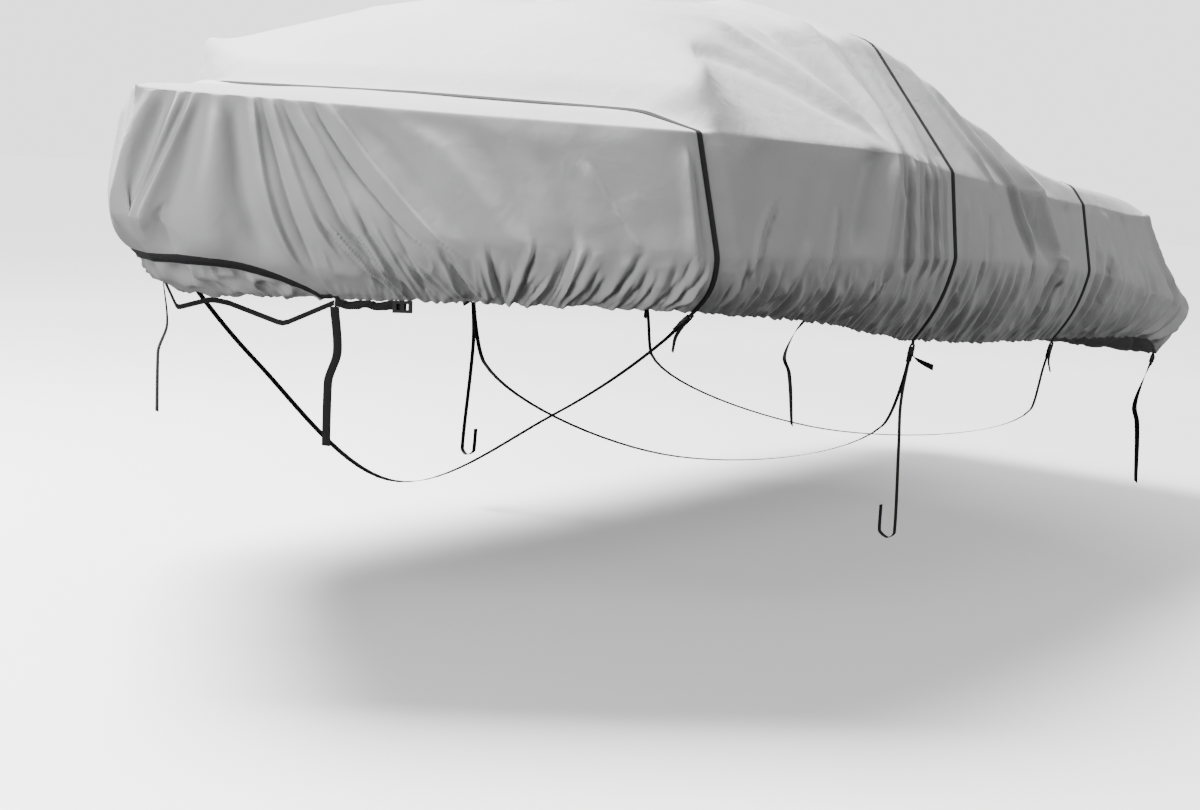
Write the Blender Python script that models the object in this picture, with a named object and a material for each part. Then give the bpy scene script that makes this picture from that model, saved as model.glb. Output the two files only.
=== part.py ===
"""Fitted storage cover for a 5.3 m runabout, as it hangs on the hull that it hides.

The cloth is one closed sheet, raised over the windscreen and a centre pole, with its gathered
hem under the rail. Webbing straps cross it, hold it down and hang from it.
Metres, +Z up. +X runs aft from bow to stern, +Y to starboard, and the origin is under the
cloth's top on the centreline, where the hidden pole holds it.
"""
import math
from collections import namedtuple

import bmesh
import bpy
import numpy as np

# Driving dimensions. The tables below count x from the bow tip and z from a level above the
# rail, and POLE_X and ORIGIN_Z move both to the pole's cap.
CLOTH = 0.0024            # thickness of the coated cloth with its seams
POLE_X = 2.45             # where the pole stands, aft of the bow tip
POLE_Z = 0.560            # height of the cloth's top over the pole, from the tables' own zero
ORIGIN_Z = POLE_Z - CLOTH              # height of its underside there
WEBBING = 0.025           # width of every webbing strap
WEBBING_THICK = 0.0018
SEAT_GAP = 0.0006         # between a strap and the cloth under it
STRAP_X = (1.14, 2.67, 3.93)          # the three straps that cross the cover
HALF = WEBBING / 2
SIDE_SHARES = (0.0, 0.28, 0.60, 0.92)            # rows from rail to deck edge
SLOPE_SHARES = (0.0, 0.12, 0.55)                 # rows from deck edge to shoulder
TOP_SHARES = (0.0, 0.30, 0.65, 1.0)              # rows from shoulder to ridge
CROWN = 0.040             # rise of the tent's top between shoulder and ridge
BILLOW = 0.020            # how far the cloth bellies out between rail and hem
BAND = 0.025              # width of the dark binding over the bow
BINDING_THICK = 0.0012
BINDING_GAP = 0.0009      # between the binding and the cloth that it is sewn to
BUCKLE_LONG, BUCKLE_WIDE, BUCKLE_THICK = 0.062, 0.036, 0.010
BUCKLE_DROP = 0.014       # from the hem to the top of a strap's buckle
FIT = 0.0004              # between webbing and the buckle that it is threaded through
# Half outline of a buckle, as shares of half its length and half its width.
BUCKLE_OUTLINE = ((-1.0, .84), (-.55, .84), (-.42, .98), (-.02, 1.0), (.08, .80), (.40, .78), (.52, .90),
                  (1.0, .88))
# For each crossing strap: how it pulls at the hem, and where it passes chine and keel.
PULL = ((.70, -.70), (.16, -.98), (.22, -.97))
CHINE = ((.62, -.722), (.90, -.835), (.93, -.860))
KEEL_Z = (-1.020, -1.075, -1.075)
TAIL_END = ((.085, .030, .010), (.030, .075, .030), (.085, .020, .015))     # along, outward, aft
HEM_WEB_SPAN = (0.42, 0.67)           # girths between which webbing runs along the bow's hem
HEM_WEB_GAP = 0.0008
ADJUSTER_DROP = 0.008     # from the middle of that webbing down to the middle of its adjuster
BEAM_STRAP_GAP = 0.0005
STEM_LINE_WIDE = 0.015
LINE_RISE = 0.003         # from the middle of the hem webbing's end up to the middle of the stem line
TAIL_WIDE = 0.023         # loose tails and the beam straps are a lighter webbing
LEAD = 0.04               # straight webbing below a buckle, before it turns to the chine
BEAM_LEAD = 0.018         # the same for a beam strap
STERN_DROP = 0.0056       # from the hem to the top of a stern corner's buckle
# Routes on the port side, as x, y and z from the tables' own zero.
BOW_TIE = ((.510, .350, -.440), (.530, .350, -.560), (.500, .350, -.645), (.505, .350, -.815))
STEM_LINE = ((.440, .210, -.488), (.400, .040, -.448), (.392, .000, -.445))
STERN_TIE = ((5.40, .920, -.700), (5.250, .930, -.815), (5.176, .930, -.930), (5.236, .930, -1.010),
             (5.315, .930, -1.300))
STERN_TWIST = math.radians(150)
BEAM_STRAP = ((2.670, .962, -.760), (2.672, .968, -.880), (2.670, .985, -1.200), (2.670, .960, -1.222),
              (2.670, .925, -1.200), (2.670, .922, -1.110))
TAIL_STEPS = 8
STRAP_STATIONS = ("strap_1_fore", "strap_1_aft", "strap_2_fore", "strap_2_aft", "strap_3_fore", "strap_3_aft")
GATHER_EASE = 0.06        # length over which gathers begin and end
STRAP_CLEAR = (0.002, 0.045)          # folds fade out between these distances from a strap
CLOTH_GREY = (0.55, 0.55, 0.56)
BLACK = (0.012, 0.012, 0.013)

Station = namedtuple("Station", "name steps rail_x rail_y rail_z deck_x deck_y deck_z "
                     "shoulder_y shoulder_z ridge_z hem_x hem_y hem_z")
# One row for each section, from the stem round the port side to the middle of the transom.
# Rail is the widest line, deck the edge above it, shoulder the raised tent's edge, ridge its top.
STATIONS = [
    Station("stem", 2, .050, .000, -.225, .086, .000, .103, .000, .108, .112, .330, .000, -.425),
    Station("cheek", 4, .085, .075, -.225, .122, .060, .104, .040, .111, .118, .345, .080, -.422),
    Station("bow_fan_1", 6, .225, .245, -.226, .245, .185, .104, .135, .116, .126, .425, .225, -.414),
    Station("bow_fan_2", 4, .435, .495, -.227, .455, .385, .103, .300, .122, .136, .570, .440, -.402),
    Station("flare", 3, .670, .740, -.228, .690, .612, .102, .480, .130, .148, .755, .675, -.390),
    Station("bow_quarter", 3, .900, .950, -.228, .910, .828, .102, .670, .136, .158, .930, .890, -.382),
    Station("strap_1_fore", 1, STRAP_X[0] - HALF, 1.120, -.228, STRAP_X[0] - HALF, 1.030, .103,
            .880, .142, .168, STRAP_X[0] - HALF, 1.060, -.380),
    Station("strap_1_aft", 1, STRAP_X[0] + HALF, 1.120, -.228, STRAP_X[0] + HALF, 1.030, .103,
            .880, .142, .170, STRAP_X[0] + HALF, 1.060, -.380),
    Station("screen_corner", 4, 1.225, 1.145, -.228, 1.225, 1.048, .104,
            1.010, .235, .250, 1.225, 1.068, -.386),
    Station("screen_top", 3, 1.600, 1.155, -.228, 1.600, 1.080, .104,
            .900, .405, .482, 1.600, 1.062, -.410),
    Station("cockpit", 2, 2.000, 1.145, -.229, 2.000, 1.090, .104, .800, .470, .521, 2.000, 1.035, -.445),
    Station("rail_end", 3, 2.230, 1.135, -.230, 2.230, 1.090, .101, .770, .486, .541, 2.230, 1.015, -.475),
    Station("pole", 3, POLE_X, 1.122, -.232, POLE_X, 1.082, .078, .742, .488, POLE_Z, POLE_X, .998, -.500),
    Station("strap_2_fore", 1, STRAP_X[1] - HALF, 1.112, -.234, STRAP_X[1] - HALF, 1.070, .057,
            .722, .480, .562, STRAP_X[1] - HALF, .985, -.524),
    Station("strap_2_aft", 4, STRAP_X[1] + HALF, 1.112, -.234, STRAP_X[1] + HALF, 1.070, .055,
            .722, .478, .560, STRAP_X[1] + HALF, .985, -.524),
    Station("tent_heel", 4, 3.050, 1.112, -.244, 3.050, 1.062, .030, .860, .305, .420, 3.050, .985, -.545),
    Station("saddle", 4, 3.450, 1.112, -.262, 3.450, 1.058, .002, .935, .145, .240, 3.450, .985, -.556),
    Station("strap_3_fore", 1, STRAP_X[2] - HALF, 1.112, -.284, STRAP_X[2] - HALF, 1.056, -.024,
            .995, .056, .120, STRAP_X[2] - HALF, .990, -.565),
    Station("strap_3_aft", 6, STRAP_X[2] + HALF, 1.112, -.285, STRAP_X[2] + HALF, 1.056, -.024,
            .995, .054, .118, STRAP_X[2] + HALF, .990, -.565),
    Station("quarter", 7, 4.600, 1.100, -.365, 4.540, 1.030, -.055, .950, .025, .085, 4.560, .985, -.578),
    Station("stern_corner", 4, 5.230, 1.075, -.450, 4.960, .965, -.060,
            .870, -.002, .060, 5.100, .975, -.605),
    Station("stern_bend", 3, 5.480, .960, -.495, 5.060, .840, -.065, .740, -.010, .050, 5.400, .920, -.695),
    Station("transom_port", 3, 5.560, .650, -.505, 5.105, .560, -.065,
            .470, -.008, .045, 5.430, .600, -.700),
    Station("transom", 0, 5.580, .000, -.505, 5.125, .000, -.050, .000, .010, .040, 5.450, .000, -.690),
]

Fold = namedtuple("Fold", "name top_girth top_level low_girth low_level width depth")
# Girth runs along the sides in metres from the stem, port above zero. Levels are 0 at the hem,
# 1 at the rail, 2 at the deck edge, 3 at the shoulder and 4 at the ridge.
Gather = namedtuple("Gather", "name first last pitch depth top_level")
FOLDS = [
    Fold("stem_ridge", .05, 2.0, -.06, 1.0, .028, .012),
    Fold("stem_hollow", .09, 2.0, -.02, .9, .030, -.022),
    Fold("cheek_ridge", .15, 2.0, .03, .9, .030, .016),
    Fold("cheek_hollow", .19, 2.0, .12, .9, .035, -.018),
    Fold("bow_crease", .24, 2.0, .21, .7, .045, .022),
    Fold("bow_hollow", .29, 2.0, .34, .9, .030, -.016),
    Fold("fan_1", .36, 2.0, .47, .4, .034, -.018),
    Fold("fan_2", .41, 2.0, .57, .5, .036, .014),
    Fold("fan_3", .45, 2.0, .68, .6, .040, -.013),
    Fold("fan_4", .53, 2.0, .80, .8, .055, .012),
    Fold("fan_5", .70, 2.0, .93, .8, .060, -.010),
    Fold("fan_6", .86, 1.9, 1.03, .6, .070, .010),
    Fold("strap_1_pull", 1.48, 1.8, 1.43, .6, .050, .010),
    Fold("side_1", 1.83, 1.5, 1.72, .6, .050, .014),
    Fold("side_2", 2.12, 1.5, 2.05, .6, .050, .014),
    Fold("rail_end_hollow", 2.46, 2.0, 2.30, 1.1, .080, -.022),
    Fold("rail_end_drape", 2.60, 2.0, 2.36, .4, .060, .016),
    Fold("pleat_1", 2.67, 2.0, 2.66, .6, .028, -.012),
    Fold("pleat_2", 2.73, 2.0, 2.72, .5, .030, .010),
    Fold("pleat_3", 2.80, 2.0, 2.79, .6, .028, -.012),
    Fold("pleat_4", 2.87, 2.0, 2.85, .5, .030, .010),
    Fold("heel_1", 3.30, 1.7, 3.24, .6, .045, .012),
    Fold("heel_2", 3.46, 1.7, 3.42, .6, .045, .012),
    Fold("heel_sweep_1", 3.42, 2.8, 3.74, 1.0, .060, .018),
    Fold("heel_sweep_2", 3.66, 2.9, 4.02, 1.0, .060, .022),
    Fold("stern_hollow", 3.88, 2.2, 3.90, .9, .060, -.014),
]
GATHERS = [
    # Even pleats drawn together by the hem's elastic, as first and last girth, pitch and depth.
    Gather("bow_quarter", .78, 1.46, .115, .010, 1.15),
    Gather("midships", 1.62, 2.30, .125, .009, 1.10),
    Gather("strap_2_to_3", 3.14, 4.14, .130, .010, 1.15),
    Gather("stern", 4.36, 5.52, .105, .012, 1.65),
]
Lift = namedtuple("Lift", "name x y radius height")
LIFTS = [
    # What stands under the cloth and pushes it up, at y to starboard.
    Lift("screen_corner_starboard", 1.235, 1.030, .150, .075),
    Lift("screen_corner_port", 1.300, -.930, .170, .020),
]

# How far up the underside the bow band lies, as a share of the way from hem to rail.
BAND_REACH = 0.40         # girth to each side of the stem where the band comes down to the hem
BAND_TOP = 0.57           # share at the stem
BAND_FOOT = 0.05          # share along the hem past the reach


def pchip(at, known, values):
    """Smooth curve through the known values that never runs past them."""
    known, values = np.asarray(known, float), np.asarray(values, float)
    span = np.diff(known)
    slope = np.diff(values) / span
    tangent = np.zeros(len(known))
    tangent[0], tangent[-1] = slope[0], slope[-1]
    for i in range(1, len(known) - 1):
        if slope[i - 1] * slope[i] > 0:
            before, after = 2 * span[i] + span[i - 1], span[i] + 2 * span[i - 1]
            tangent[i] = (before + after) / (before / slope[i - 1] + after / slope[i])
    cell = np.clip(np.searchsorted(known, at, side="right") - 1, 0, len(span) - 1)
    u = (at - known[cell]) / span[cell]
    return (values[cell] * (1 + 2 * u) * (1 - u) ** 2 + values[cell + 1] * u * u * (3 - 2 * u)
            + span[cell] * (tangent[cell] * u * (1 - u) ** 2 - tangent[cell + 1] * u * u * (1 - u)))


def station_girths():
    """Length along the cover's side at each station, midway between rail and deck edge."""
    middle = np.array([[(s.rail_x + s.deck_x) / 2, (s.rail_y + s.deck_y) / 2] for s in STATIONS])
    return np.concatenate([[0.0], np.cumsum(np.linalg.norm(np.diff(middle, axis=0), axis=1))])


GIRTHS = station_girths()


def girth_of(name):
    """Girth at which a named station stands."""
    return GIRTHS[[s.name for s in STATIONS].index(name)]


def column(field, girth):
    """One column of the station table, read at any girth."""
    return pchip(np.abs(girth), GIRTHS, [getattr(s, field) for s in STATIONS])


def smooth(low, high, value):
    """0 below low, 1 above high, eased between."""
    t = np.clip((value - low) / (high - low), 0.0, 1.0)
    return t * t * (3 - 2 * t)


def base_point(girth, level):
    """Point of the cover's unwrinkled outer face at arrays of girth and level."""
    side = np.sign(girth)
    corner = {}
    corner[0] = [column("hem_x", girth), column("hem_y", girth), column("hem_z", girth)]
    corner[1] = [column("rail_x", girth), column("rail_y", girth), column("rail_z", girth)]
    corner[2] = [column("deck_x", girth), column("deck_y", girth), column("deck_z", girth)]
    corner[3] = [corner[2][0], column("shoulder_y", girth), column("shoulder_z", girth)]
    corner[4] = [corner[2][0], 0.0 * girth, column("ridge_z", girth)]
    point = np.zeros(np.shape(girth) + (3,))
    for low in range(4):
        inside = (level >= low) & (level <= low + 1)
        share = np.clip(level - low, 0.0, 1.0)
        for axis in range(3):
            run = corner[low][axis] * (1 - share) + corner[low + 1][axis] * share
            point[..., axis] = np.where(inside, run, point[..., axis])
    point[..., 1] *= -side
    # The raised top is crowned across from shoulder to shoulder.
    across = np.sin(np.pi * np.clip(level - 3, 0, 1))
    point[..., 2] += CROWN * across * smooth(0.2, 0.45, corner[4][2])
    # Under the rail the cloth billows out between rail and hem.
    inward = [corner[1][axis] - corner[0][axis] for axis in range(3)]
    plan = np.hypot(inward[0], inward[1])
    drop = np.hypot(plan, inward[2]) + 1e-9
    billow = BILLOW * np.sin(np.pi * np.clip(level, 0, 1)) * (level < 1)
    point[..., 0] += billow * inward[2] / drop * inward[0] / (plan + 1e-9)
    point[..., 1] -= billow * inward[2] / drop * inward[1] / (plan + 1e-9) * side
    point[..., 2] -= billow * plan / drop
    return point


def band_shares(girth):
    """Shares from hem to rail of the two edges of the bow band."""
    along = np.abs(girth) / BAND_REACH
    middle = BAND_FOOT + (BAND_TOP - BAND_FOOT) * np.clip(1 - along ** 4.0, 0, 1)
    reach = np.linalg.norm([column(f"rail_{a}", girth) - column(f"hem_{a}", girth) for a in "xyz"], axis=0)
    half = np.minimum(BAND / 2 / reach, middle - 0.01)
    return middle - half, middle + half


def row_levels(girth):
    """Level of each row of the cloth's grid at each girth, from the hem to the ridge."""
    low, high = band_shares(girth)
    rows = [0 * girth, low * 0.5, low, high]
    rows += [high + (1 - high) * share for share in (0.40, 0.80)]
    rows += [1 + share + 0 * girth for share in SIDE_SHARES]
    rows += [2 + share + 0 * girth for share in SLOPE_SHARES]
    rows += [3 + share + 0 * girth for share in TOP_SHARES]
    return np.stack(rows, axis=-1)


def fold_height(girth, level):
    """How far the folds lift the cloth off its unwrinkled face."""
    height = np.zeros(np.shape(level))
    for fold in FOLDS:
        run = (level - fold.top_level) / (fold.low_level - fold.top_level)
        middle = fold.top_girth + (fold.low_girth - fold.top_girth) * run
        ends = smooth(-0.05, 0.20, run) * (1 - smooth(0.80, 1.12, run))
        height += fold.depth * ends * np.exp(-((girth - middle) / fold.width) ** 2)
    port = np.abs(girth)
    for gather in GATHERS:
        count = round((gather.last - gather.first) / gather.pitch)
        wave = np.sin(2 * np.pi * count * (port - gather.first) / (gather.last - gather.first))
        ends = smooth(gather.first, gather.first + GATHER_EASE, port)
        ends *= 1 - smooth(gather.last - GATHER_EASE, gather.last, port)
        reach = 1 - smooth(gather.top_level - 0.5, gather.top_level, level)
        height += gather.depth * wave * ends * reach * (0.5 + 0.5 * smooth(0.0, 0.5, level))
    return height * strap_mask(girth)


def strap_mask(girth):
    """0 at the crossing straps, where the cloth is pulled smooth, and 1 away from them."""
    clear = np.ones(np.shape(girth))
    for name in STRAP_STATIONS:
        clear *= smooth(STRAP_CLEAR[0], STRAP_CLEAR[1], np.abs(np.abs(girth) - girth_of(name)))
    return clear


def lift_height(point):
    """How far the hidden boat's corners push up the cloth above its deck edge."""
    height = np.zeros(point.shape[:-1])
    for lift in LIFTS:
        away = np.hypot(point[..., 0] - lift.x, point[..., 1] - lift.y)
        height += lift.height * np.exp(-(away / lift.radius) ** 2)
    return height


def grid_girths():
    """Girths of the grid's columns on one side, from the stem to the middle of the transom."""
    girths = [0.0]
    for i, station in enumerate(STATIONS[:-1]):
        share = np.arange(1, station.steps + 1) / station.steps
        girths.extend(GIRTHS[i] + (GIRTHS[i + 1] - GIRTHS[i]) * share)
    return np.array(girths)


def cover_grid():
    """Points of the cloth's outer face, one column for each girth right round the boat."""
    side = grid_girths()
    girth = np.concatenate([-side[:0:-1], side])
    level = row_levels(np.abs(girth))
    girth = np.repeat(girth[:, None], level.shape[1], axis=1)
    point = base_point(girth, level)
    point[..., 2] += lift_height(point) * strap_mask(girth) * smooth(2.0, 2.8, level)
    along = np.gradient(point, axis=0)
    up = np.gradient(point, axis=1)
    normal = np.cross(along, up)
    length = np.linalg.norm(normal, axis=-1, keepdims=True)
    normal = np.where(length > 1e-9, normal / np.maximum(length, 1e-12), 0.0)
    stem = len(side) - 1
    normal[stem, :, 1] = 0.0
    point = point + normal * fold_height(girth, level)[..., None]
    point[stem, :, 1] = 0.0
    for end in (0, -1):
        point[end, :, 1] = 0.0
    point[0] = point[-1]
    point[..., 0] -= POLE_X
    point[..., 2] -= ORIGIN_Z
    return point


def clear_scene():
    """Remove whatever the scene holds."""
    for thing in list(bpy.data.objects):
        bpy.data.objects.remove(thing, do_unlink=True)


def finish(name, color, roughness, metallic=0.0):
    """Principled material of one node."""
    material = bpy.data.materials.new(name)
    material.use_nodes = True
    shader = material.node_tree.nodes["Principled BSDF"]
    shader.inputs["Base Color"].default_value = (*color, 1.0)
    shader.inputs["Roughness"].default_value = roughness
    shader.inputs["Metallic"].default_value = metallic
    return material


def add_object(name, points, faces, material, is_round=True):
    """Object of one mesh, with doubled points joined."""
    mesh = bpy.data.meshes.new(name)
    mesh.from_pydata([tuple(p) for p in points], [], faces)
    work = bmesh.new()
    work.from_mesh(mesh)
    bmesh.ops.remove_doubles(work, verts=work.verts, dist=0.00005)
    bmesh.ops.recalc_face_normals(work, faces=work.faces)
    work.to_mesh(mesh)
    work.free()
    mesh.materials.append(material)
    if is_round:
        mesh.shade_smooth()
        mesh.set_sharp_from_angle(angle=math.radians(40))
    thing = bpy.data.objects.new(name, mesh)
    bpy.context.collection.objects.link(thing)
    return thing


def make_cloth(grid):
    """The cover's cloth, one sheet from hem to ridge, closed round its hem."""
    columns, rows = grid.shape[:2]
    faces = []
    for c in range(columns - 1):
        for r in range(rows - 1):
            a, b = c * rows + r, (c + 1) * rows + r
            faces.extend(((a, b, b + 1), (a, b + 1, a + 1)))
    cloth = add_object("cover_cloth", grid.reshape(-1, 3), faces, finish("cover_cloth", CLOTH_GREY, 0.75))
    sheet = cloth.modifiers.new("thickness", "SOLIDIFY")
    sheet.thickness = CLOTH
    sheet.offset = -1.0
    sheet.use_even_offset = True
    return cloth


def unit(vectors):
    """The vectors at length 1."""
    return vectors / np.maximum(np.linalg.norm(vectors, axis=-1, keepdims=True), 1e-12)


def ribbon(name, near, far, gap=0.0, thick=WEBBING_THICK):
    """Flat webbing between two edge lines, standing off them by a gap on its outer side."""
    near, far = np.asarray(near, float), np.asarray(far, float)
    middle = (near + far) / 2
    step = unit(np.diff(middle, axis=0))
    across = unit(far - near)
    along = unit(np.vstack([step[:1], step[:-1] + step[1:], step[-1:]]))
    normal = unit(np.cross(across, along))
    turn = np.abs(np.einsum("ij,ij->i", along, np.vstack([step[:1], step])))
    lift = normal / np.maximum(turn, 0.7)[:, None]
    inner, outer = gap * lift, (gap + thick) * lift
    points = np.stack([near + inner, far + inner, far + outer, near + outer], axis=1).reshape(-1, 3)
    faces = [(3, 2, 1, 0)]
    for i in range(len(near) - 1):
        a, b = 4 * i, 4 * (i + 1)
        for k in range(4):
            m = (k + 1) % 4
            if k % 2:
                faces.extend(((a + k, a + m, b + m), (a + k, b + m, b + k)))
            else:
                faces.extend(((a + k, a + m, b + k), (a + m, b + m, b + k)))
    last = 4 * (len(near) - 1)
    faces.append((last, last + 1, last + 2, last + 3))
    return add_object(name, points, faces, finish(name, BLACK, 0.6))


def webbing_run(name, points, across=(1.0, 0.0, 0.0), width=WEBBING, gap=-WEBBING_THICK / 2):
    """Webbing along a list of points, with its width along one direction, or one for each point."""
    points = np.array(points, float)
    half = unit(np.array(across, float) * np.ones_like(points)) * width / 2
    return ribbon(name, points - half, points + half, gap)


def rounded(points, per_gap=4):
    """Points on a smooth curve through a short list of points."""
    points = np.array(points, float)
    chord = np.concatenate([[0.0], np.cumsum(np.linalg.norm(np.diff(points, axis=0), axis=1))])
    at = np.interp(np.arange((len(points) - 1) * per_gap + 1) / per_gap, np.arange(len(points)), chord)
    return np.stack([pchip(at, chord, points[:, axis]) for axis in range(3)], axis=1)


def make_binding(grid):
    """The dark binding that arches over the bow's hem, sewn on the cloth between two rows."""
    stem = (grid.shape[0] - 1) // 2
    reach = int(np.searchsorted(grid_girths(), BAND_REACH))
    run = range(stem - reach, stem + reach + 1)
    low = np.array([grid[c, 2] for c in run])
    high = np.array([grid[c, 3] for c in run])
    return ribbon("bow_binding", high, low, BINDING_GAP, BINDING_THICK)


def hem_to_hem(grid, number):
    """The two edge lines of a crossing strap, from the port hem over the ridge to starboard."""
    stem = (grid.shape[0] - 1) // 2
    edges = []
    for end in ("fore", "aft"):
        offset = int(np.argmin(np.abs(grid_girths() - girth_of(f"strap_{number}_{end}"))))
        port, starboard = grid[stem + offset], grid[stem - offset]
        edges.append(np.vstack([port, starboard[-2::-1]]))
    return edges


def hanging_frame(grid, number, side):
    """Where a crossing strap leaves the hem, which way it pulls, and outwards from that pull."""
    fore, aft = hem_to_hem(grid, number)
    hem = (fore[0] + aft[0]) / 2 if side < 0 else (fore[-1] + aft[-1]) / 2
    pull_y, pull_z = PULL[number - 1]
    pull = unit(np.array([0.0, side * -pull_y, pull_z]))
    out = unit(np.array([0.0, -side * pull[2], side * pull[1]]))
    if out[1] * side < 0:
        out = -out
    return hem, pull, out


def make_crossing_strap(grid, number):
    """Webbing over the cover from one hem buckle to the other."""
    fore, aft = hem_to_hem(grid, number)
    ends = []
    for side in (-1, 1):
        hem, pull, out = hanging_frame(grid, number, side)
        ends.append(hem + pull * BUCKLE_DROP + out * SEAT_GAP)
    half = np.array([WEBBING / 2, 0.0, 0.0])
    fore = np.vstack([ends[0] - half, fore, ends[1] - half])
    aft = np.vstack([ends[0] + half, aft, ends[1] + half])
    return ribbon(f"crossing_strap_{number}", fore, aft, SEAT_GAP)


def make_buckle(name, middle, along, out):
    """Side-release buckle: a waisted body with rounded edges, its length along the pull."""
    along, out = unit(np.array(along, float)), unit(np.array(out, float))
    across = np.cross(out, along)
    outline = []
    for share, width in BUCKLE_OUTLINE:
        outline.append((share * BUCKLE_LONG / 2, width * BUCKLE_WIDE / 2))
    ring = outline + [(a, -w) for a, w in reversed(outline)]
    points, faces = [], []
    for height, shrink in ((-0.5, 0.90), (-0.34, 1.0), (0.34, 1.0), (0.5, 0.90)):
        for a, w in ring:
            edge = a * (1 - (1 - shrink) * 0.25), w * shrink
            points.append(middle + along * edge[0] + across * edge[1] + out * height * BUCKLE_THICK)
    count = len(ring)
    for layer in range(3):
        for i in range(count):
            a, b = layer * count + i, layer * count + (i + 1) % count
            faces.append((a, b, b + count, a + count))
    faces.append(tuple(range(count))[::-1])
    faces.append(tuple(range(3 * count, 4 * count)))
    return add_object(name, points, faces, finish(name, BLACK, 0.35))


def make_tie_down(grid, number):
    """Buckles, tails and the webbing that runs under the keel for one crossing strap."""
    keel = np.array([STRAP_X[number - 1] - POLE_X, 0.0, KEEL_Z[number - 1] - ORIGIN_Z])
    runs = []
    for side, label in ((-1, "port"), (1, "starboard")):
        hem, pull, out = hanging_frame(grid, number, side)
        lane = out * (2 * SEAT_GAP + WEBBING_THICK / 2)
        middle = hem + pull * (BUCKLE_DROP + FIT + BUCKLE_LONG / 2) + lane
        make_buckle(f"buckle_{number}_{label}", middle, pull, out)
        start = middle + pull * (BUCKLE_LONG / 2 + FIT)
        chine = np.array([keel[0], side * CHINE[number - 1][0], CHINE[number - 1][1] - ORIGIN_Z])
        runs.append([start, start + pull * LEAD, chine])
        root = middle + out * (BUCKLE_THICK / 2 + FIT + WEBBING_THICK / 2)
        reach_pull, reach_out, reach_x = TAIL_END[number - 1]
        share = np.linspace(0.0, 1.0, TAIL_STEPS)[:, None]
        tail = root + pull * reach_pull * share + out * reach_out * share ** 2
        tail[:, 0] += reach_x * share[:, 0] ** 2
        webbing_run(f"strap_tail_{number}_{label}", tail, (1.0, 0.0, 0.0), TAIL_WIDE)
    port, starboard = runs
    path = rounded(port + [keel] + starboard[::-1], 3)
    webbing_run(f"under_strap_{number}", path, (1.0, 0.0, 0.0))


def placed(points, side):
    """Points of the port side from the tables' own zero, moved to the origin and to one side."""
    points = np.array(points, float)
    points[:, 0] -= POLE_X
    points[:, 1] *= side
    points[:, 2] -= ORIGIN_Z
    return points


def hem_line(grid, first, last, side):
    """Points of the hem between two girths on one side."""
    stem = (grid.shape[0] - 1) // 2
    girths = grid_girths()
    run = [i for i, girth in enumerate(girths) if first <= girth <= last]
    return np.array([grid[stem - side * i, 0] for i in run])


def make_bow_ties(grid):
    """Webbing and adjuster along the hem beside the bow, the tie below it and the stem line."""
    ends = {}
    for side, label in ((-1, "port"), (1, "starboard")):
        hem = hem_line(grid, *HEM_WEB_SPAN, side)
        top = hem - np.array([0.0, 0.0, HEM_WEB_GAP])
        low = top - np.array([0.0, 0.0, WEBBING])
        if side > 0:
            top, low = low, top
        ribbon(f"hem_webbing_{label}", low, top, -WEBBING_THICK / 2)
        middle = (top + low) / 2
        tangent = unit(middle[-1] - middle[-2])
        out = np.array([0.0, side, 0.0])
        out = unit(out - tangent * (out @ tangent))
        lift = WEBBING_THICK / 2 + FIT + BUCKLE_THICK / 2
        seat = middle[-2] + (middle[-1] - middle[-2]) * 0.8 - np.array([0.0, 0.0, ADJUSTER_DROP])
        make_buckle(f"bow_adjuster_{label}", seat + out * lift, tangent, out)
        root = middle[0] - np.array([0.0, 0.0, WEBBING / 2 + 2 * FIT])
        drop = placed(BOW_TIE, side) - placed(BOW_TIE[:1], side)
        start = unit(middle[1] - middle[0])
        webbing_run(f"bow_tie_{label}", rounded(root + drop, 4), start * np.array([1.0, 1.0, 0.0]))
        ends[side] = middle[0] - start * 2 * FIT + np.array([0.0, 0.0, LINE_RISE])
    port = placed(STEM_LINE, -1)
    starboard = placed(STEM_LINE[:-1], 1)[::-1]
    path = np.vstack([ends[-1], port, starboard, ends[1]])
    webbing_run("stem_line", rounded(path, 4), (0.0, 0.0, 1.0), STEM_LINE_WIDE)


def make_stern_ties(grid):
    """The twisted straps that hang from the hem's two stern corners, with their buckles."""
    for side, label in ((-1, "port"), (1, "starboard")):
        path = placed(STERN_TIE, side)
        pull = unit(path[1] - path[0])
        hem = hem_line(grid, girth_of("stern_bend") - 0.001, girth_of("stern_bend") + 0.001, side)[0]
        top = hem + pull * STERN_DROP + np.array([0.0, 0.0, -CLOTH])
        out = unit(np.cross(pull, np.array([1.0, 0.0, 0.0])))
        if out[1] * side < 0:
            out = -out
        middle = top + pull * (BUCKLE_LONG / 2 + FIT)
        make_buckle(f"stern_buckle_{label}", middle, pull, out)
        start = middle + pull * (BUCKLE_LONG / 2 + FIT)
        path = np.vstack([start, path[1:]])
        path = rounded(path, 4)
        turn = np.linspace(0.0, STERN_TWIST, len(path)) * side
        first = unit(np.cross(pull, out))
        across = first * np.cos(turn)[:, None] + np.array([0.0, 1.0, 0.0]) * np.sin(turn)[:, None]
        webbing_run(f"stern_tie_{label}", path, across)


def make_beam_straps(grid):
    """The straps that drop from the middle buckles and hook under the missing trailer's beam."""
    for side, label in ((-1, "port"), (1, "starboard")):
        hem, pull, out = hanging_frame(grid, 2, side)
        off = out * (2 * SEAT_GAP + WEBBING_THICK * 1.5 + BEAM_STRAP_GAP)
        root = hem + pull * (BUCKLE_DROP + BUCKLE_LONG + 4 * FIT) + off
        path = np.vstack([root, root + pull * BEAM_LEAD, placed(BEAM_STRAP, side)])
        webbing_run(f"beam_strap_{label}", rounded(path, 3), (1.0, 0.0, 0.0), TAIL_WIDE)


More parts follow.
